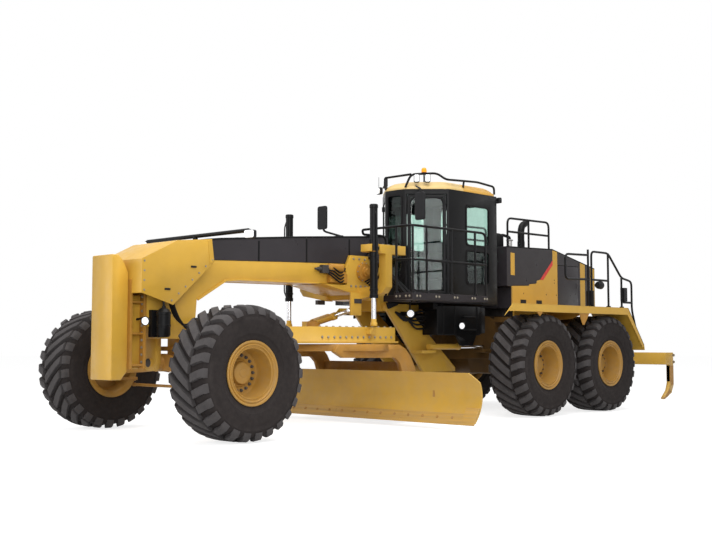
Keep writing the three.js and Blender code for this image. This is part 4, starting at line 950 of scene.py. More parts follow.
def add_cab():
    repaint("cab_shell", BLACK, 0.01)
    repaint("cab_glass", GLASS, 0)
    rubber = Piece("cab_window_frames", "front_frame", HOSE, bevel=0.003, smooth=35)
    frame_ring(rubber, lambda u, v, w: (u, 5.2 + w, v), -0.2, 0.2, 2.46, 4.17, 0.035, -0.012, 0.02, 0.05)
    frame_ring(rubber, lambda u, v, w: (u, 7.28 - w, v), -0.64, 0.64, 2.94, 4.12, 0.035, -0.012, 0.02, 0.08)
    middle, rear = Vector((0.85, 5.78, 0)), Vector((0.83, 7.28, 0))
    along = (rear - middle).normalized()
    inward = Vector((-along.y, along.x, 0))
    for _, k in SIDES:

        def side(u, v, w, k=k):
            p = middle + along * u + inward * w
            return (k * p.x, p.y, v)

        frame_ring(rubber, side, 0.5, 1.26, 3.21, 4.01, 0.035, -0.01, 0.02, 0.08)
        frame_ring(rubber, side, 0.5, 1.26, 2.46, 3.15, 0.035, -0.01, 0.02, 0.08)
    for label, k in SIDES:

        def door(u, v, w, k=k):
            p = SLANT_START + SLANT_WAY * u + SLANT_IN * w
            return (k * p.x, p.y, v)

        body = "cab_door_" + label
        repaint("cab_door_" + label, BLACK, 0.006)
        seal = Piece("door_seal_" + label, body, HOSE, bevel=0.003, smooth=35)
        frame_ring(seal, door, 0.1, 0.747, 2.33, 4.1, 0.03, 0.004, 0.03, 0.1)
        glass = Piece("door_glass_" + label, body, GLASS, smooth=30)
        pane(glass, door, 0.115, 0.732, 2.345, 4.085, 0.014, 0.022, 0.1)
        fittings = Piece("door_fittings_" + label, body, PLASTIC, bevel=0.004)
        for z in (2.5, 3.2, 3.95):
            p = SLANT_START + SLANT_WAY * 0.775 + SLANT_IN * -0.005
            fittings.rod((k * p.x, p.y, z), (k * p.x, p.y, z + 0.1), 0.014)
        p, q = (SLANT_START + SLANT_WAY * s + SLANT_IN * 0.04 for s in (0.14, 0.7))
        grab = [(k * p.x, p.y, 3.05), (k * q.x, q.y, 3.05)]
        fittings.pipe(grab, 0.012)
    add_cab_roof()
    add_cab_inside()


def add_cab_roof():
    plan = [(0.24, 5.2), (0.85, 5.78), (0.83, 7.28), (-0.83, 7.28), (-0.85, 5.78), (-0.24, 5.2)]
    middle_y = 6.3
    roof = Piece("cab_roof_look", "front_frame", ROOF, ("cab_roof",), 0.0, 50)
    rings = []
    levels = [
        (0.0, 4.2505), (0.0, 4.284), (0.012, 4.3), (0.03, 4.308), (0.06, 4.34), (0.1, 4.37), (0.16, 4.4),
        (0.26, 4.42), (0.42, 4.432), (0.65, 4.44), (0.97, 4.443),
    ]
    for inset, z in levels:
        outline = corner_arcs(
            [(x * (1 - inset), middle_y + (y - middle_y) * (1 - inset)) for x, y in plan], 0.16 * (1 - inset),
            5,
        )
        rings.append([roof.bm.verts.new((x, y, z)) for x, y in outline])
    roof.skin(rings, True)
    eave = Piece("cab_roof_edge", "front_frame", BLACK, smooth=50)
    outer = corner_arcs([(x * 0.985, middle_y + (y - middle_y) * 0.985) for x, y in plan], 0.15, 5)
    inner = corner_arcs([(x * 0.95, middle_y + (y - middle_y) * 0.95) for x, y in plan], 0.15, 5)
    rings = [
        [eave.bm.verts.new(p) for p in ((*o, 4.15), (*o, 4.2495), (*i, 4.2495), (*i, 4.15))]
        for o, i in zip(outer, inner)
    ]
    eave.skin(rings, False, True)
    side_tube = [
        (0.25, 5.225, 4.285), (0.326, 5.3, 4.53), (0.68, 5.64, 4.55), (0.795, 5.745, 4.43),
        (0.825, 6.2, 4.45), (0.822, 6.67, 4.475), (0.812, 7.22, 4.44), (0.8, 7.24, 4.29),
    ]
    hoop = Piece("roof_guard_rails", "front_frame", BLACK, smooth=60)
    for _, k in SIDES:
        hoop.pipe([(k * x, y, z) for x, y, z in side_tube], 0.021, 0.09, 12)
        hoop.pipe([(k * 0.824, 6.26, 4.45), (k * 0.79, 6.26, 4.285)], 0.019)
        hoop.pipe([(k * 0.5, 5.47, 4.54), (k * 0.5, 5.47, 4.38)], 0.012)
    hoop.pipe([(0.326, 5.3, 4.53), (-0.326, 5.3, 4.53)], 0.021, sides=12)
    way = Vector((SLANT_WAY.y, -SLANT_WAY.x, 0))
    housings = Piece("roof_lamp_housings", "front_frame", PLASTIC, bevel=0.01)
    lenses = Piece("roof_lamp_lenses", "front_frame", LENS, bevel=0.004)
    for _, k in SIDES:
        for x, y in ((0.405, 5.372), (0.553, 5.513)):
            for piece, half, low, high, w0, w1, radius in ((
                housings, 0.052, 4.375, 4.53, -0.05, 0.03, 0.025,
            ), (lenses, 0.042, 4.387, 4.518, 0.028, 0.038, 0.02)):

                def at(u, v, w, x=x, y=y, k=k):
                    return (k * (x + SLANT_WAY.x * u + way.x * w), y + SLANT_WAY.y * u + way.y * w, v)

                pane(piece, at, -half, half, low, high, w0, w1, radius)
    box_lamp("cab_side_lamp_right", "front_frame", (-0.86, 5.62, 4.36), (-0.3, -1, 0), 0.075, 0.06, 0.1)
    box_lamp("cab_side_lamp_left", "front_frame", (0.8, 7.46, 4.19), (0.35, 1, 0), 0.085, 0.055, 0.1)
    box_lamp("cab_rear_lamp_right", "front_frame", (-0.8, 7.46, 4.19), (-0.35, 1, 0), 0.085, 0.055, 0.1)
    hoop.pipe([(-0.8, 5.73, 4.42), (-0.84, 5.68, 4.44), (-0.84, 5.68, 4.36)], 0.014, 0.03)
    for _, k in SIDES:
        hoop.pipe([(k * 0.79, 7.25, 4.2), (k * 0.79, 7.38, 4.2)], 0.018)
    beacon = Piece("beacon_base", "front_frame", PLASTIC, smooth=40)
    beacon.turned((0.503, 5.47, 4.535), (0, 0, 1), [
        (0, 0.02), (0.001, 0.055), (0.02, 0.058), (0.025, 0.05), (0.03, 0.05),
    ], 28)
    dome = Piece("beacon_dome", "front_frame", ORANGE, smooth=60)
    dome.turned((0.503, 5.47, 4.562), (0, 0, 1), [
        (0, 0.05), (0.045, 0.05), (0.07, 0.045), (0.085, 0.032), (0.092, 0.014), (0.0935, 0.003),
    ], 28)
    antenna = Piece("antenna", "front_frame", PLASTIC, smooth=60)
    antenna.turned((-0.84, 5.66, 4.34), (0, 0, 1), [
        (0, 0.012), (0.06, 0.012), (0.065, 0.005), (0.3, 0.004),
    ], 10)
    mirror = Piece("mirror_left", "front_frame", PLASTIC, bevel=0.018, smooth=35)
    mirror.plate("y", round_rect(0.832, 1.058, 3.582, 4.088, 0.05), 4.822, 4.87)
    mirror_right = Piece("mirror_right", "front_frame", PLASTIC, bevel=0.018, smooth=35)
    mirror_right.plate("y", round_rect(-1.148, -0.902, 3.512, 3.958, 0.05), 4.272, 4.32)
    faces = Piece("mirror_faces", "front_frame", CHROME, smooth=35)
    faces.plate("y", round_rect(0.852, 1.038, 3.61, 4.06, 0.04), 4.869, 4.874)
    faces.plate("y", round_rect(-1.128, -0.922, 3.54, 3.93, 0.04), 4.319, 4.324)
    arms = Piece("mirror_arms", "front_frame", BLACK, smooth=60)
    arms.pipe([(0.42, 5.42, 4.28), (0.7, 5.0, 4.24), (0.955, 4.85, 4.15), (0.955, 4.85, 4.02)], 0.016, 0.15)
    arms.pipe([
        (-0.47, 4.72, 2.15), (-0.47, 4.62, 3.29), (-1.005, 4.3, 3.48), (-1.005, 4.3, 3.62),
    ], 0.02, 0.15)


def crowned(name, material, low, high, crown=0.03, pinch=0.02, power=5.0, across=28, turn=None):
    """A stuffed pad: a rounded box whose faces swell and whose sides draw in between the corners."""
    low, high = Vector(low), Vector(high)
    centre, half = (low + high) / 2, (high - low) / 2
    bm = bmesh.new()
    bmesh.ops.create_cube(bm, size=2)
    bmesh.ops.subdivide_edges(bm, edges=bm.edges, cuts=across, use_grid_fill=True)
    for v in bm.verts:
        p = v.co
        reach = max(abs(p.x), abs(p.y), abs(p.z))
        size = (abs(p.x) ** power + abs(p.y) ** power + abs(p.z) ** power) ** (1 / power)
        p = p * reach / size
        swell = (1 - p.x**2) * (1 - p.y**2)
        draw = 1 - pinch / half.x * (1 - p.y**2) * (1 - p.z**2)
        seam = math.exp(-((p.z / 0.06) ** 2)) * 0.012
        groove = sum(math.exp(-(((p.y - g) / 0.035) ** 2)) for g in (-0.34, 0.34)) * 0.008 * (
            1 if abs(p.z) > 0.6 else 0
        )
        q = Vector((p.x * half.x * draw, p.y * half.y * (1 - pinch / half.y * (1 - p.x**2)), p.z * half.z))
        q.z += math.copysign(max(0.0, swell) * crown, p.z) * (
            1 if abs(p.z) > 0.5 else abs(p.z) * 2
        ) - math.copysign(groove, p.z)
        outward = Vector((q.x, q.y, 0))
        if outward.length:
            q -= outward.normalized() * seam
        if turn:
            q = turn @ q
        v.co = centre + q
    bmesh.ops.translate(bm, vec=(0, AXLE_Y, 0), verts=bm.verts)
    mesh = to_mesh(bm, name, recalc=False)
    obj = bpy.data.objects.new(name, mesh)
    dress(obj, material, "front_frame", (), 0, 180)
    return obj


def add_cab_inside():
    base = Piece("seat_base", "front_frame", PLASTIC, ("operator_seat",), 0.015)
    base.plate("x", [
        (6.32, 2.165), (6.7, 2.165), (6.66, 2.3), (6.72, 2.56), (6.28, 2.56), (6.36, 2.3),
    ], -0.19, 0.19)
    base.box(-0.25, 0.25, 6.22, 6.76, 2.56, 2.6)
    base.plate("x", [(6.7, 2.62), (6.84, 2.62), (6.95, 3.42), (6.9, 3.46)], -0.2, 0.2)
    for _, k in SIDES:
        base.plate("x", round_rect(6.22, 6.66, 2.88, 2.94, 0.02), k * 0.285, k * 0.355)
    crowned("seat_cushion", CLOTH, (-0.265, 6.2, 2.605), (0.265, 6.74, 2.745), 0.02)
    lean = Matrix.Rotation(math.radians(-79), 3, "X")
    crowned("seat_back", CLOTH, (-0.255, 6.47, 3.05), (0.255, 7.07, 3.15), 0.02, turn=lean)
    crowned("seat_headrest", CLOTH, (-0.13, 6.815, 3.44), (0.13, 6.965, 3.54), 0.012, 0.008, turn=lean)
    controls = Piece("cab_controls", "front_frame", PLASTIC, bevel=0.008)
    controls.plate("x", [(5.4, 2.2), (5.55, 2.2), (5.62, 2.98), (5.5, 3.06), (5.36, 3.02)], -0.11, 0.11)
    controls.plate("x", [(5.3, 3.02), (5.56, 2.98), (5.52, 3.12), (5.34, 3.2)], -0.22, 0.22)
    for _, k in SIDES:
        controls.plate("x", [
            (6.16, 2.86), (6.72, 2.86), (6.72, 2.95), (6.3, 2.99), (6.16, 2.95),
        ], k * 0.34, k * 0.55)
        for i in range(3):
            x, y = k * (0.39 + 0.055 * i), 6.26
            controls.turned((x, y, 2.96), (0, -0.15, 1), [
                (0, 0.012), (0.08, 0.01), (0.085, 0.018), (0.13, 0.02), (0.14, 0.01),
            ], 12)
        controls.plate("x", [(6.75, 2.17), (7.15, 2.17), (7.15, 2.9), (6.75, 2.8)], k * 0.4, k * 0.74)
    column = Vector((0, 5.66, 3.06))
    tilt = Vector((0, 0.5, 1)).normalized()
    controls.turned(column - tilt * 0.16, tilt, [
        (0, 0.03), (0.12, 0.03), (0.15, 0.05), (0.165, 0.045), (0.17, 0.02),
    ], 16)
    side, up = Vector((1, 0, 0)), tilt.cross(Vector((1, 0, 0)))
    wheel = [
        column + (side * math.cos(math.tau * i / 24) + up * math.sin(math.tau * i / 24)) * 0.2
        for i in range(25)
    ]
    controls.pipe(wheel, 0.015, 0.0, 8, 1)
    for i in range(3):
        a = math.tau * (i / 3 + 0.08)
        controls.pipe([column, column + (side * math.cos(a) + up * math.sin(a)) * 0.2], 0.012)
    controls.box(-0.15, 0.15, 5.3, 5.36, 3.95, 4.12)
    visor = Piece("cab_headliner", "front_frame", PLASTIC, bevel=0.01)
    visor.plate("z", [
        (0.2, 5.3), (0.74, 5.83), (0.74, 7.18), (-0.74, 7.18), (-0.74, 5.83), (-0.2, 5.3),
    ], 4.165, 4.235)


def add_platform():
    deck = Piece("deck_look", "front_frame", TREAD_GREY, ("cab_platform",), 0.008)
    left = [
        (0.43, 4.7), (0.43, 4.42), (1.18, 4.42), (1.18, 3.88), (1.6, 3.88), (1.6, 5.97), (0.88, 5.97),
        (0.88, 5.781), (0.262, 5.172),
    ]
    right = [
        (-0.262, 5.172), (-0.88, 5.781), (-0.88, 5.97), (-1.6, 5.97), (-1.6, 5.2), (-1.18, 5.2), (-1.18, 5.0),
        (-0.43, 4.7),
    ]
    deck.plate("z", left + right, 2.112, 2.223)
    tread = Piece("deck_tread", "front_frame", BLACK, bevel=0.002)
    for i in range(22):
        y = 3.93 + 0.09 * i
        for x in ([1.25, 1.4, 1.55] if y < 4.45 else [1.0, 1.15, 1.3, 1.45]):
            tread.plate("z", [
                (x - 0.05, y), (x - 0.044, y - 0.006), (x + 0.044, y + 0.03), (x + 0.038, y + 0.036),
            ], 2.2225, 2.2275)
    studs = Piece("deck_bolts", "front_frame", BOLT, smooth=30)
    for y in (4.0, 4.08, 4.5, 4.58, 5.0, 5.08, 5.5, 5.58, 5.86, 5.93):
        studs.bolt((1.6, y, 2.168), (1, 0, 0), 0.016, 0.012)
        if y > 5.2:
            studs.bolt((-1.6, y, 2.168), (-1, 0, 0), 0.016, 0.012)
    for x in (1.24, 1.32, 1.46, 1.54):
        studs.bolt((x, 3.88, 2.168), (0, -1, 0), 0.016, 0.012)
    rails = Piece("deck_rails", "front_frame", BLACK, smooth=60)
    top, low, x, end = 3.37, 2.79, 1.57, 5.94
    rail_pipes(rails, [
        [
            (0.47, 4.45, 2.15), (0.47, 4.45, 3.29), (0.402, 3.93, 3.29), (0.402, 3.91, top), (x, 3.91, top),
            (x, end, top), (x, end, 2.15),
        ],
        [(1.215, 3.91, low), (x, 3.91, low), (x, end, low)],
        [(-1.215, 5.23, 2.15), (-1.215, 5.23, top), (-x, 5.23, top), (-x, end, top), (-x, end, 2.15)],
        [(-1.215, 5.23, low), (-x, 5.23, low), (-x, end, low)],
    ])
    for px, y in ((1.215, 3.91), (x, 3.93), (x, 4.29), (x, 4.96), (x, 5.63), (-x, 5.25)):
        rails.pipe([(px, y, 2.15), (px, y, top)], 0.021)
        rails.rod((px, y, 2.22), (px, y, 2.25), 0.04)
    brace = Piece("deck_braces", "front_frame", BLACK, bevel=0.006)
    brace.plate("x", [(4.44, 2.1), (4.75, 2.1), (4.75, 2.06), (4.5, 1.98)], 0.46, 0.5)
    brace.pipe([(1.1, 4.46, 2.1), (0.62, 4.1, 2.78), (0.4, 4.05, 2.9)], 0.03, 0.1)
    brace.pipe([(1.1, 4.6, 2.1), (0.66, 4.2, 2.7), (0.4, 4.15, 2.8)], 0.03, 0.1)
    for _, k in SIDES:
        brace.box(k * 0.5, k * 0.86, 5.3, 5.4, 1.99, 2.108)


def add_under_cab():
    repaint("belly_tank", BLACK, 0.02)
    for label, k in SIDES:
        lamp(
            "deck_lamp_front_" + label, "front_frame", (k * 0.72, 4.83, 1.9), (k * 0.75, -0.8, -0.05), 0.07,
            0.08,
        )
        lamp("deck_lamp_rear_" + label, "front_frame", (k * 0.88, 6.1, 1.69), (k, -0.4, -0.05), 0.065, 0.07)
    holders = Piece("deck_lamp_brackets", "front_frame", BLACK, bevel=0.004)
    tank = Piece("tank_details", "front_frame", BLACK, bevel=0.006)
    steel = Piece("side_steps", "front_frame", BLACK, bevel=0.004)
    for _, k in SIDES:
        holders.box(k * 0.46, k * 0.68, 4.84, 4.9, 1.86, 1.94)
        holders.pipe([(k * 0.66, 4.88, 1.92), (k * 0.66, 4.88, 2.11)], 0.015)
        tank.turned((k * 0.7, 5.7, 2.06), (0, 0, 1), [
            (0, 0.06), (0.03, 0.06), (0.034, 0.045), (0.048, 0.045), (0.05, 0.02),
        ], 20)
        for y in (5.62, 5.95, 6.62):
            tank.box(k * 0.6, k * 0.828, y, y + 0.04, 1.515, 2.065)
        for z in (1.62, 1.86):
            steel.pipe([
                (k * 0.82, 6.2, z), (k * 0.86, 6.2, z), (k * 0.86, 6.55, z), (k * 0.82, 6.55, z),
            ], 0.012, 0.03)
    hoses = Piece("hitch_hoses", "front_frame", HOSE, smooth=60)
    for _, k in SIDES:
        for i in range(5):
            z = 1.62 + 0.08 * i
            hoses.pipe([
                (k * 0.47, 4.7, 1.93), (k * 0.5, 4.95, 1.85 - 0.03 * i), (k * 0.51, 5.2, z),
                (k * 0.52, 5.44, z + 0.02),
            ], 0.018, 0.2, 8)


# ------------------------------------------------------------------ rear half
def add_hood():
    hood = Piece("engine_hood_look", "rear_frame", COVER, ("engine_hood",), 0.01)
    inside_top = [(7.585, 3.262), (9.147, 3.302), (10.752, 2.976)]
    outside_top = [(7.56, 3.29), (9.15, 3.33), (10.78, 3.0)]
    hood.plate("x", inside_top[:2] + [outside_top[1], outside_top[0]], -0.86, 0.86)
    hood.plate("x", inside_top[1:] + [outside_top[2], outside_top[1]], -0.86, 0.86)
    hood.plate("x", [(7.56, 2.49), (7.585, 2.49), (7.585, 3.28), (7.56, 3.29)], -0.86, 0.86)
    hood.plate("x", [(7.7, 2.06), (7.73, 2.06), (7.73, 2.515), (7.7, 2.49)], -0.86, 0.86)
    hood.box(-0.86, 0.86, 7.56, 7.72, 2.49, 2.515)
    hood.box(-0.86, 0.86, 10.755, 10.78, 2.06, 3.0)
    yellow = Piece("hood_yellow_panels", "rear_frame", YELLOW, bevel=0.004)
    stripe = Piece("hood_stripe", "rear_frame", RED, bevel=0.0)
    grey = Piece("hood_dark_panels", "rear_frame", COVER, bevel=0.004)
    top = Piece("hood_rim", "rear_frame", BLACK, bevel=0.005)
    latches = Piece("hood_latches", "rear_frame", PLASTIC, bevel=0.003)
    for _, k in SIDES:
        a, b = k * 0.836, k * 0.859
        grey.plate("x", [
            (7.562, 2.5), (8.3, 2.53), (8.32, 2.562), (8.57, 2.585), (8.585, 2.645), (8.7, 2.668),
            (9.155, 3.09), (9.155, 3.325), (7.562, 3.285),
        ], a, b)
        stripe.plate("x", [(8.7, 2.666), (8.81, 2.666), (9.157, 2.99), (9.157, 3.092)], a, k * 0.8595)
        yellow.plate("x", [
            (7.702, 2.062), (9.33, 2.062), (9.33, 3.28), (9.157, 3.318), (9.157, 2.988), (8.812, 2.664),
            (8.7, 2.664), (8.588, 2.641), (8.573, 2.581), (8.324, 2.558), (8.304, 2.526), (7.702, 2.502),
        ], a, b)
        yellow.plate("x", [(7.68, 2.72), (7.82, 2.716), (7.82, 3.165), (7.68, 3.17)], k * 0.85, k * 0.86)
        grey.plate("x", [(9.33, 3.002), (10.15, 3.002), (10.15, 3.122), (9.33, 3.288)], a, b)
        yellow.box(a, b, 9.33, 10.15, 2.062, 2.148)
        grey.plate("x", [(10.13, 2.148), (10.2, 2.148), (10.2, 3.11), (10.13, 3.125)], a, b)
        yellow.plate("x", [(10.2, 2.062), (10.39, 2.062), (10.39, 3.075), (10.2, 3.11)], a, b)
        grey.plate("x", [(10.39, 2.062), (10.6, 2.062), (10.6, 3.03), (10.39, 3.075)], a, b)
        yellow.plate("x", [(10.6, 2.062), (10.778, 2.062), (10.778, 2.998), (10.6, 3.03)], a, b)
        top.plate("x", [
            (7.562, 3.262), (9.15, 3.303), (10.779, 2.972), (10.779, 3.001), (9.15, 3.331), (7.562, 3.292),
        ], k * 0.84, k * 0.86)
        for y, z in ((9.2, 2.6), (9.2, 2.66), (8.1, 2.35), (8.9, 2.35), (9.27, 2.35)):
            latches.box(k * 0.856, k * 0.86, y, y + 0.02, z, z + 0.03)
        for y in (8.0, 8.55):
            latches.box(k * 0.856, k * 0.8598, y, y + 0.2, 2.1, 2.24)
    steel = Piece("exhaust_stack", "rear_frame", BLACK, smooth=50)
    steel.pipe([
        (0.36, 8.74, 3.28), (0.36, 8.74, 3.72), (0.36, 8.78, 3.83), (0.36, 8.93, 3.9),
    ], 0.072, 0.14, 24, 8)
    steel.turned((0.36, 8.74, 3.29), (0, 0, 1), [
        (0, 0.05), (0, 0.1), (0.03, 0.1), (0.035, 0.078), (0.2, 0.078), (0.2, 0.05),
    ], 28)
    rails = Piece("hood_rails", "rear_frame", BLACK, smooth=60)
    for _, k in SIDES:
        rail_pipes(rails, [
            [(k * 0.82, 7.64, 3.28), (k * 0.82, 7.64, 3.86), (k * 0.82, 9.08, 3.88), (k * 0.82, 9.08, 3.3)],
            [(k * 0.82, 7.64, 3.59), (k * 0.82, 9.08, 3.6)], [(k * 0.82, 8.36, 3.29), (k * 0.82, 8.36, 3.87)],
        ])
    for label, k in SIDES:
        repaint("hood_door_" + label, COVER, 0.006)
    vents = Piece("hood_top_vents", "rear_frame", BLACK, bevel=0.002)
    for i in range(16):
        y = 9.4 + 0.075 * i
        z = 3.33 - (y - 9.15) * 0.2025
        vents.plate("x", [
            (y, z - 0.01), (y + 0.05, z - 0.02), (y + 0.05, z + 0.0), (y, z + 0.008),
        ], -0.6, 0.6)
    grille = Piece("rear_grille", "rear_frame", BLACK, bevel=0.002)
    for i in range(20):
        z = 2.12 + 0.042 * i
        grille.box(-0.7, 0.7, 10.779, 10.792, z, z + 0.02)
    for _, k in SIDES:
        grille.box(k * 0.7, k * 0.75, 10.779, 10.796, 2.1, 2.96)
    machinery = Piece("hood_front_machinery", "rear_frame", SILVER, smooth=40)
    dark = Piece("hood_front_pipes", "rear_frame", HOSE, smooth=60)
    dark.turned((0.5, 7.72, 3.28), (0, 0, 1), [
        (0, 0.12), (0.02, 0.13), (0.24, 0.13), (0.28, 0.1), (0.3, 0.04),
    ], 28)
    machinery.turned((0.68, 7.9, 3.3), (0, 0, 1), [
        (0, 0.05), (0.12, 0.05), (0.13, 0.07), (0.15, 0.07), (0.16, 0.03),
    ], 24)
    machinery.turned((0.5, 7.62, 3.46), (0, -1, 0), [(0, 0.05), (0.02, 0.055), (0.03, 0.03)], 24)
    dark.pipe([(0.68, 7.9, 3.42), (0.68, 7.9, 3.5), (0.58, 7.78, 3.55), (0.5, 7.72, 3.5)], 0.03, 0.1)
    dark.pipe([(0.3, 7.66, 3.28), (0.3, 7.66, 3.5), (0.42, 7.7, 3.56), (0.5, 7.72, 3.5)], 0.035, 0.12)


FENDER_TOP, FENDER_OUT = 2.083, 2.2045


def add_fenders():
    top = FENDER_TOP
    for label, k in SIDES:
        plate = Piece(f"fender_{label}_look", "rear_frame", YELLOW, (f"fender_{label}",), 0.005)
        plate.plate(
            "z", [(k * x, y) for x, y in [(FENDER_OUT, 5.9), (FENDER_OUT, 9.86), (0.88, 9.86), (0.88, 7.7)]],
            top - 0.012, top,
        )
        plate.plate("x", [
            (9.845, top - 0.012), (9.85, top), (9.865, top), (10.48, 1.33), (10.5, 1.22), (10.475, 1.22),
            (10.455, 1.32),
        ], k * 1.29, k * FENDER_OUT)
        plate.plate("x", [
            (5.64, 1.85), (5.77, 1.94), (9.83, 1.94), (10.43, 1.27), (10.48, 1.33), (9.865, top), (5.9, top),
        ], k * 2.19, k * FENDER_OUT)
        plate.plate("z", [
            (k * 2.19, 5.92), (k * 2.19, 5.95), (k * 1.65, 6.683), (k * 1.65, 6.653),
        ], 2.0, top - 0.006)
        plate.box(k * 0.881, k * 0.9, 7.7, 9.86, 1.9, top - 0.006)
        plate.box(k * 0.881, k * 0.905, 7.71, 7.81, 1.9, top - 0.006)
        gusset = Piece("fender_gussets_" + label, "rear_frame", YELLOW_PAINTED_SHADE, bevel=0.003)
        gusset.plate("y", [
            (k * 1.32, 2.07), (k * 2.19, 2.07), (k * 2.19, 1.94), (k * 1.9, 1.84), (k * 1.36, 1.8),
        ], 8.22, 8.24)
        gusset.plate("x", [
            (8.06, 1.945), (8.42, 1.945), (8.32, 1.82), (8.24, 1.72), (8.18, 1.72),
        ], k * 2.175, k * 2.189)
        gusset.plate("x", [(6.62, 1.95), (6.84, 1.95), (6.73, 1.86)], k * 2.19, k * FENDER_OUT)
        studs = Piece("fender_bolts_" + label, "rear_frame", BOLT, smooth=30)
        bolts_along(studs, (k * 1.2, 7.8, top), (k * 1.2, 9.7, top), 8, (0, 0, 1), 0.016, 0.01)
        rails = Piece("fender_rails_" + label, "rear_frame", BLACK, smooth=60)
        x = k * 2.06
        rail_pipes(rails, [
            [(x, 8.6, 3.1), (x, 7.8, 3.08), (x, 7.8, 2.6), (x, 8.6, 2.62)], [(x, 8.6, top), (x, 8.6, 3.21)],
            [
                (x, 8.72, top), (x, 8.72, 3.18), (x, 9.34, 3.18), (x, 9.85, 2.7), (x, 10.25, 2.64),
                (x, 10.25, 2.05), (x, 10.46, 1.5),
            ],
            [(x, 8.72, 2.62), (x, 9.34, 2.62)], [(x, 9.34, top), (x, 9.34, 3.18)],
            [(x, 9.85, top), (x, 9.85, 2.7)], [(x, 9.85, 2.2), (x, 10.25, 2.2)],
        ], bend=0.1)
        for y in (8.6, 8.72, 9.34, 9.85):
            rails.rod((x, y, top), (x, y, top + 0.03), 0.045)
        boxes = Piece("fender_units_" + label, "rear_frame", PLASTIC, bevel=0.008)
        boxes.turned((x, 8.92, 2.52), (0, 1, 0), [
            (0, 0.03), (0.005, 0.06), (0.05, 0.075), (0.14, 0.08), (0.16, 0.07), (0.18, 0.03),
        ], 24)
        boxes.box(x - 0.05, x + 0.05, 9.88, 10.0, 2.22, 2.5)
        boxes.box(k * 1.98, k * 2.14, 8.64, 8.68, 2.1, 2.4)
        steps = Piece("rear_steps_" + label, "rear_frame", BLACK, bevel=0.004)
        for y, z in ((9.98, 1.93), (10.18, 1.7), (10.36, 1.5)):
            steps.box(k * 1.5, k * 2.1, y, y + 0.11, z, z + 0.02)


def add_rear_frame():
    # The rear frame in the brown yellow, painted shade for its place in shadow under the cab.
    repaint("rear_frame", SHADE_DARKENED_YELLOW, 0.015)
    repaint("engine_block", IRON, 0.02)
    for label, k in SIDES:
        repaint("tandem_case_" + label, YELLOW_PAINTED_SHADE, 0.03)
        hub = Piece("tandem_covers_" + label, "tandem_" + label, YELLOW_PAINTED_SHADE, smooth=40)
        hub.turned((k * 1.32, 8.236, 0.96), (k, 0, 0), [
            (0, 0.28), (0.02, 0.28), (0.025, 0.24), (0.05, 0.23), (0.055, 0.1),
        ], 36)
        studs = Piece("tandem_bolts_" + label, "tandem_" + label, BOLT, smooth=30)
        bolt_ring(studs, (k * 1.34, 8.236, 0.96), (k, 0, 0), 0.26, 14, 0.012, 0.01)
    lower = Piece("rear_bumper_details", "rear_frame", BLACK, bevel=0.006)
    lower.box(-0.3, 0.3, 10.945, 10.97, 1.55, 1.58)
    for label, k in SIDES:
        lamp("rear_lamp_" + label, "rear_frame", (k * 0.78, 10.99, 1.75), (0, 1, 0), 0.05, 0.05)
    repaint("ripper_beam", YELLOW, 0.012)
    points = Piece("ripper_points", "ripper", YELLOW_PAINTED_SHADE, bevel=0.006)
    for x in (-1.64, 0, 1.64):
        points.plate("x", [
            (12.235, 0.135), (12.262, 0.112), (12.44, 0.18), (12.56, 0.29), (12.5, 0.36), (12.42, 0.28),
        ], x - 0.045, x + 0.045)
        points.plate("x", [
            (12.52, 0.5), (12.57, 0.4), (12.695, 0.44), (12.695, 0.86), (12.52, 0.86),
        ], x - 0.0435, x + 0.0435)
    studs = Piece("ripper_bolts", "ripper", BOLT, smooth=30)
    for x in (-1.64, 0, 1.64):
        for z in (0.94, 1.09):
            for s in (-1, 1):
                studs.bolt((x + s * 0.12, 12.56, z), (0, 1, 0), 0.024)


# ------------------------------------------------------------------ axle and blade
def add_axle():
    repaint("axle_beam", YELLOW_PAINTED_SHADE, 0.015)
    for node in ("lean_bar", "tie_rod", "tie_rod_end"):
        repaint(node, YELLOW_PAINTED_SHADE, 0.004, 40)
    for label, k in SIDES:
        repaint("lean_housing_" + label, YELLOW_PAINTED_SHADE, 0.01)
        repaint("knuckle_" + label, YELLOW_PAINTED_SHADE, 0.01)
        caps = Piece("kingpin_caps_" + label, "knuckle_" + label, IRON, smooth=40)
        caps.turned((k * 1.29, 0, 1.14), (0, 0, 1), [
            (0, 0.05), (0.02, 0.05), (0.025, 0.03), (0.03, 0.01),
        ], 24)
    bosses = Piece("axle_pin_cap", "front_frame", IRON, smooth=40)
    for y, way in ((-0.29, -1), (0.29, 1)):
        bosses.turned((0, y, 1.08), (0, way, 0), [(0, 0.066), (0.012, 0.06), (0.016, 0.02)], 28)


BLADE_HALF, BLADE_INNER, BLADE_THICK = 3.118, 2.965, 0.032


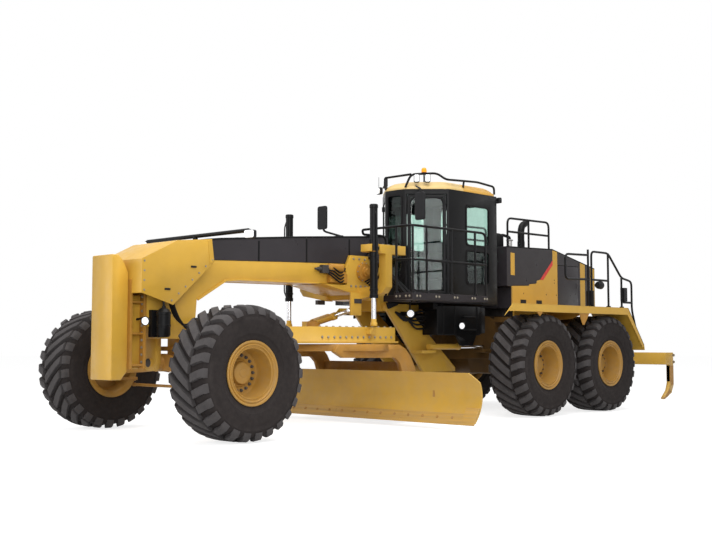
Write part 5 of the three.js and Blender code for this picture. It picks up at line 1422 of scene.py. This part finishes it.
def add_blade():
    repaint("drawbar", YELLOW, 0.008)
    repaint("drawbar_ball", IRON, 0.01)
    repaint("circle", YELLOW_PAINTED_SHADE, 0.008)
    repaint("blade_bracket", YELLOW_PAINTED_SHADE, 0.008)
    studs = Piece("drawbar_bolts", "drawbar", BOLT, smooth=30)
    for _, k in SIDES:
        bolts_along(studs, (k * 0.9, 2.4, 1.64), (k * 0.9, 4.1, 1.64), 12, (0, 0, 1), 0.02, 0.014)
        bolts_along(studs, (k * 0.96, 2.4, 1.47), (k * 0.96, 4.05, 1.47), 13, (k, 0, 0), 0.018, 0.012)
    bolts_along(studs, (-0.8, 2.2, 1.6), (0.8, 2.2, 1.6), 10, (0, 0, 1), 0.018, 0.012)
    drive = Piece("circle_drive", "drawbar", YELLOW_PAINTED_SHADE, smooth=40)
    drive.turned((0.0, 3.1, 1.53), (0, 0, 1), [
        (0, 0.21), (0.03, 0.21), (0.035, 0.17), (0.11, 0.165), (0.115, 0.12), (0.2, 0.115), (0.21, 0.08),
        (0.24, 0.02),
    ], 32)
    bolt_ring(studs, (0, 3.1, 1.56), (0, 0, 1), 0.19, 12, 0.012, 0.01)
    teeth = Piece("circle_wear_ring", "circle", IRON, bevel=0.003)
    count = 72
    for i in range(count):
        a = math.tau * i / count
        c, s = math.cos(a), math.sin(a)
        half = 0.022
        outline = [(1.035, -half), (1.0, -half * 0.5), (1.0, half * 0.5), (1.035, half)]
        teeth.plate("z", [(r * c - w * s, 3.3 + r * s + w * c) for r, w in outline], 1.255, 1.3)
    board = Piece("moldboard_look", "moldboard", YELLOW, ("moldboard",), 0.005, 30)
    steps = 28

    def face(t):
        return 3.6 + 0.04 * t + 0.66 * t * (1 - t), 0.12 + 0.785 * t

    front = [face(i / steps) for i in range(steps + 1)]
    board.plate("x", [(y + BLADE_THICK, z) for y, z in front] + front[::-1], -2.97, 2.97)

    def end_plate(k, stations):
        rings = []
        for t, reach in stations:
            y, z = face(t)
            back, inner, outer = y + BLADE_THICK, k * BLADE_INNER, k * reach
            corners = ((inner, y, z), (outer, y, z), (outer, back, z), (inner, back, z))
            rings.append([board.bm.verts.new(p) for p in corners])
        board.skin(rings, True)

    for k in (1, -1):
        end_plate(k, [(i / steps * 0.81, BLADE_HALF) for i in range(steps + 1)])
        end_plate(k, [(0.81 + 0.19 * i / 6, BLADE_HALF - 0.15 * i / 6) for i in range(7)])
    rails = Piece("moldboard_rails", "moldboard", YELLOW_PAINTED_SHADE, bevel=0.006)
    rails.box(-2.3, 2.3, 3.8, 3.88, 0.28, 0.34)
    rails.box(-2.3, 2.3, 3.8, 3.88, 0.69, 0.75)
    for x in (-2.25, -1.5, -0.45, 0.45, 1.5, 2.25):
        rails.box(x - 0.02, x + 0.02, 3.765, 3.81, 0.28, 0.35)
        rails.box(x - 0.02, x + 0.02, 3.785, 3.81, 0.68, 0.75)
    rails.box(2.12, 2.17, 3.78, 4.0, 0.5, 0.62)
    rod = Piece("sideshift_rod", "moldboard", CHROME, smooth=40)
    rod.rod((0.075, 3.95, 0.56), (2.15, 3.95, 0.56), 0.036)
    edge = Piece("cutting_edge", "moldboard", WORN_YELLOW_PAINTED_SHADE, bevel=0.004)
    lip = [
        (face(0)[0] - 0.018, 0.09), (face(0.0)[0] - 0.018 + 0.016, 0.09), face(0.18),
        (face(0.18)[0] - 0.022, face(0.18)[1]),
    ]
    for i in range(4):
        x0, x1 = -BLADE_HALF + 1.559 * i + 0.002, -BLADE_HALF + 1.559 * (i + 1) - 0.002
        edge.plate("x", lip, x0, x1)
    for k in (1, -1):
        low = face(0.0)
        edge.plate("x", [
            (low[0] - 0.03, 0.095), (low[0] - 0.01, 0.095), face(0.3),
            (face(0.3)[0] - 0.03, face(0.3)[1]),
        ], k * 2.86, k * 3.1185)
    nuts = Piece("cutting_edge_bolts", "moldboard", YELLOW_PAINTED_SHADE, smooth=30)
    y, z = face(0.1)
    for i in range(20):
        nuts.bolt((-2.95 + 5.9 * i / 19, y - 0.02, z), (0, -1, 0.5), 0.018, 0.008)


add_wheels()
add_front()
add_frame_cover()
add_saddle()
add_lift_cylinders()
add_cab()
add_platform()
add_under_cab()
add_hood()
add_fenders()
add_rear_frame()
add_axle()
add_blade()
for piece in Piece.made:
    piece.finish()
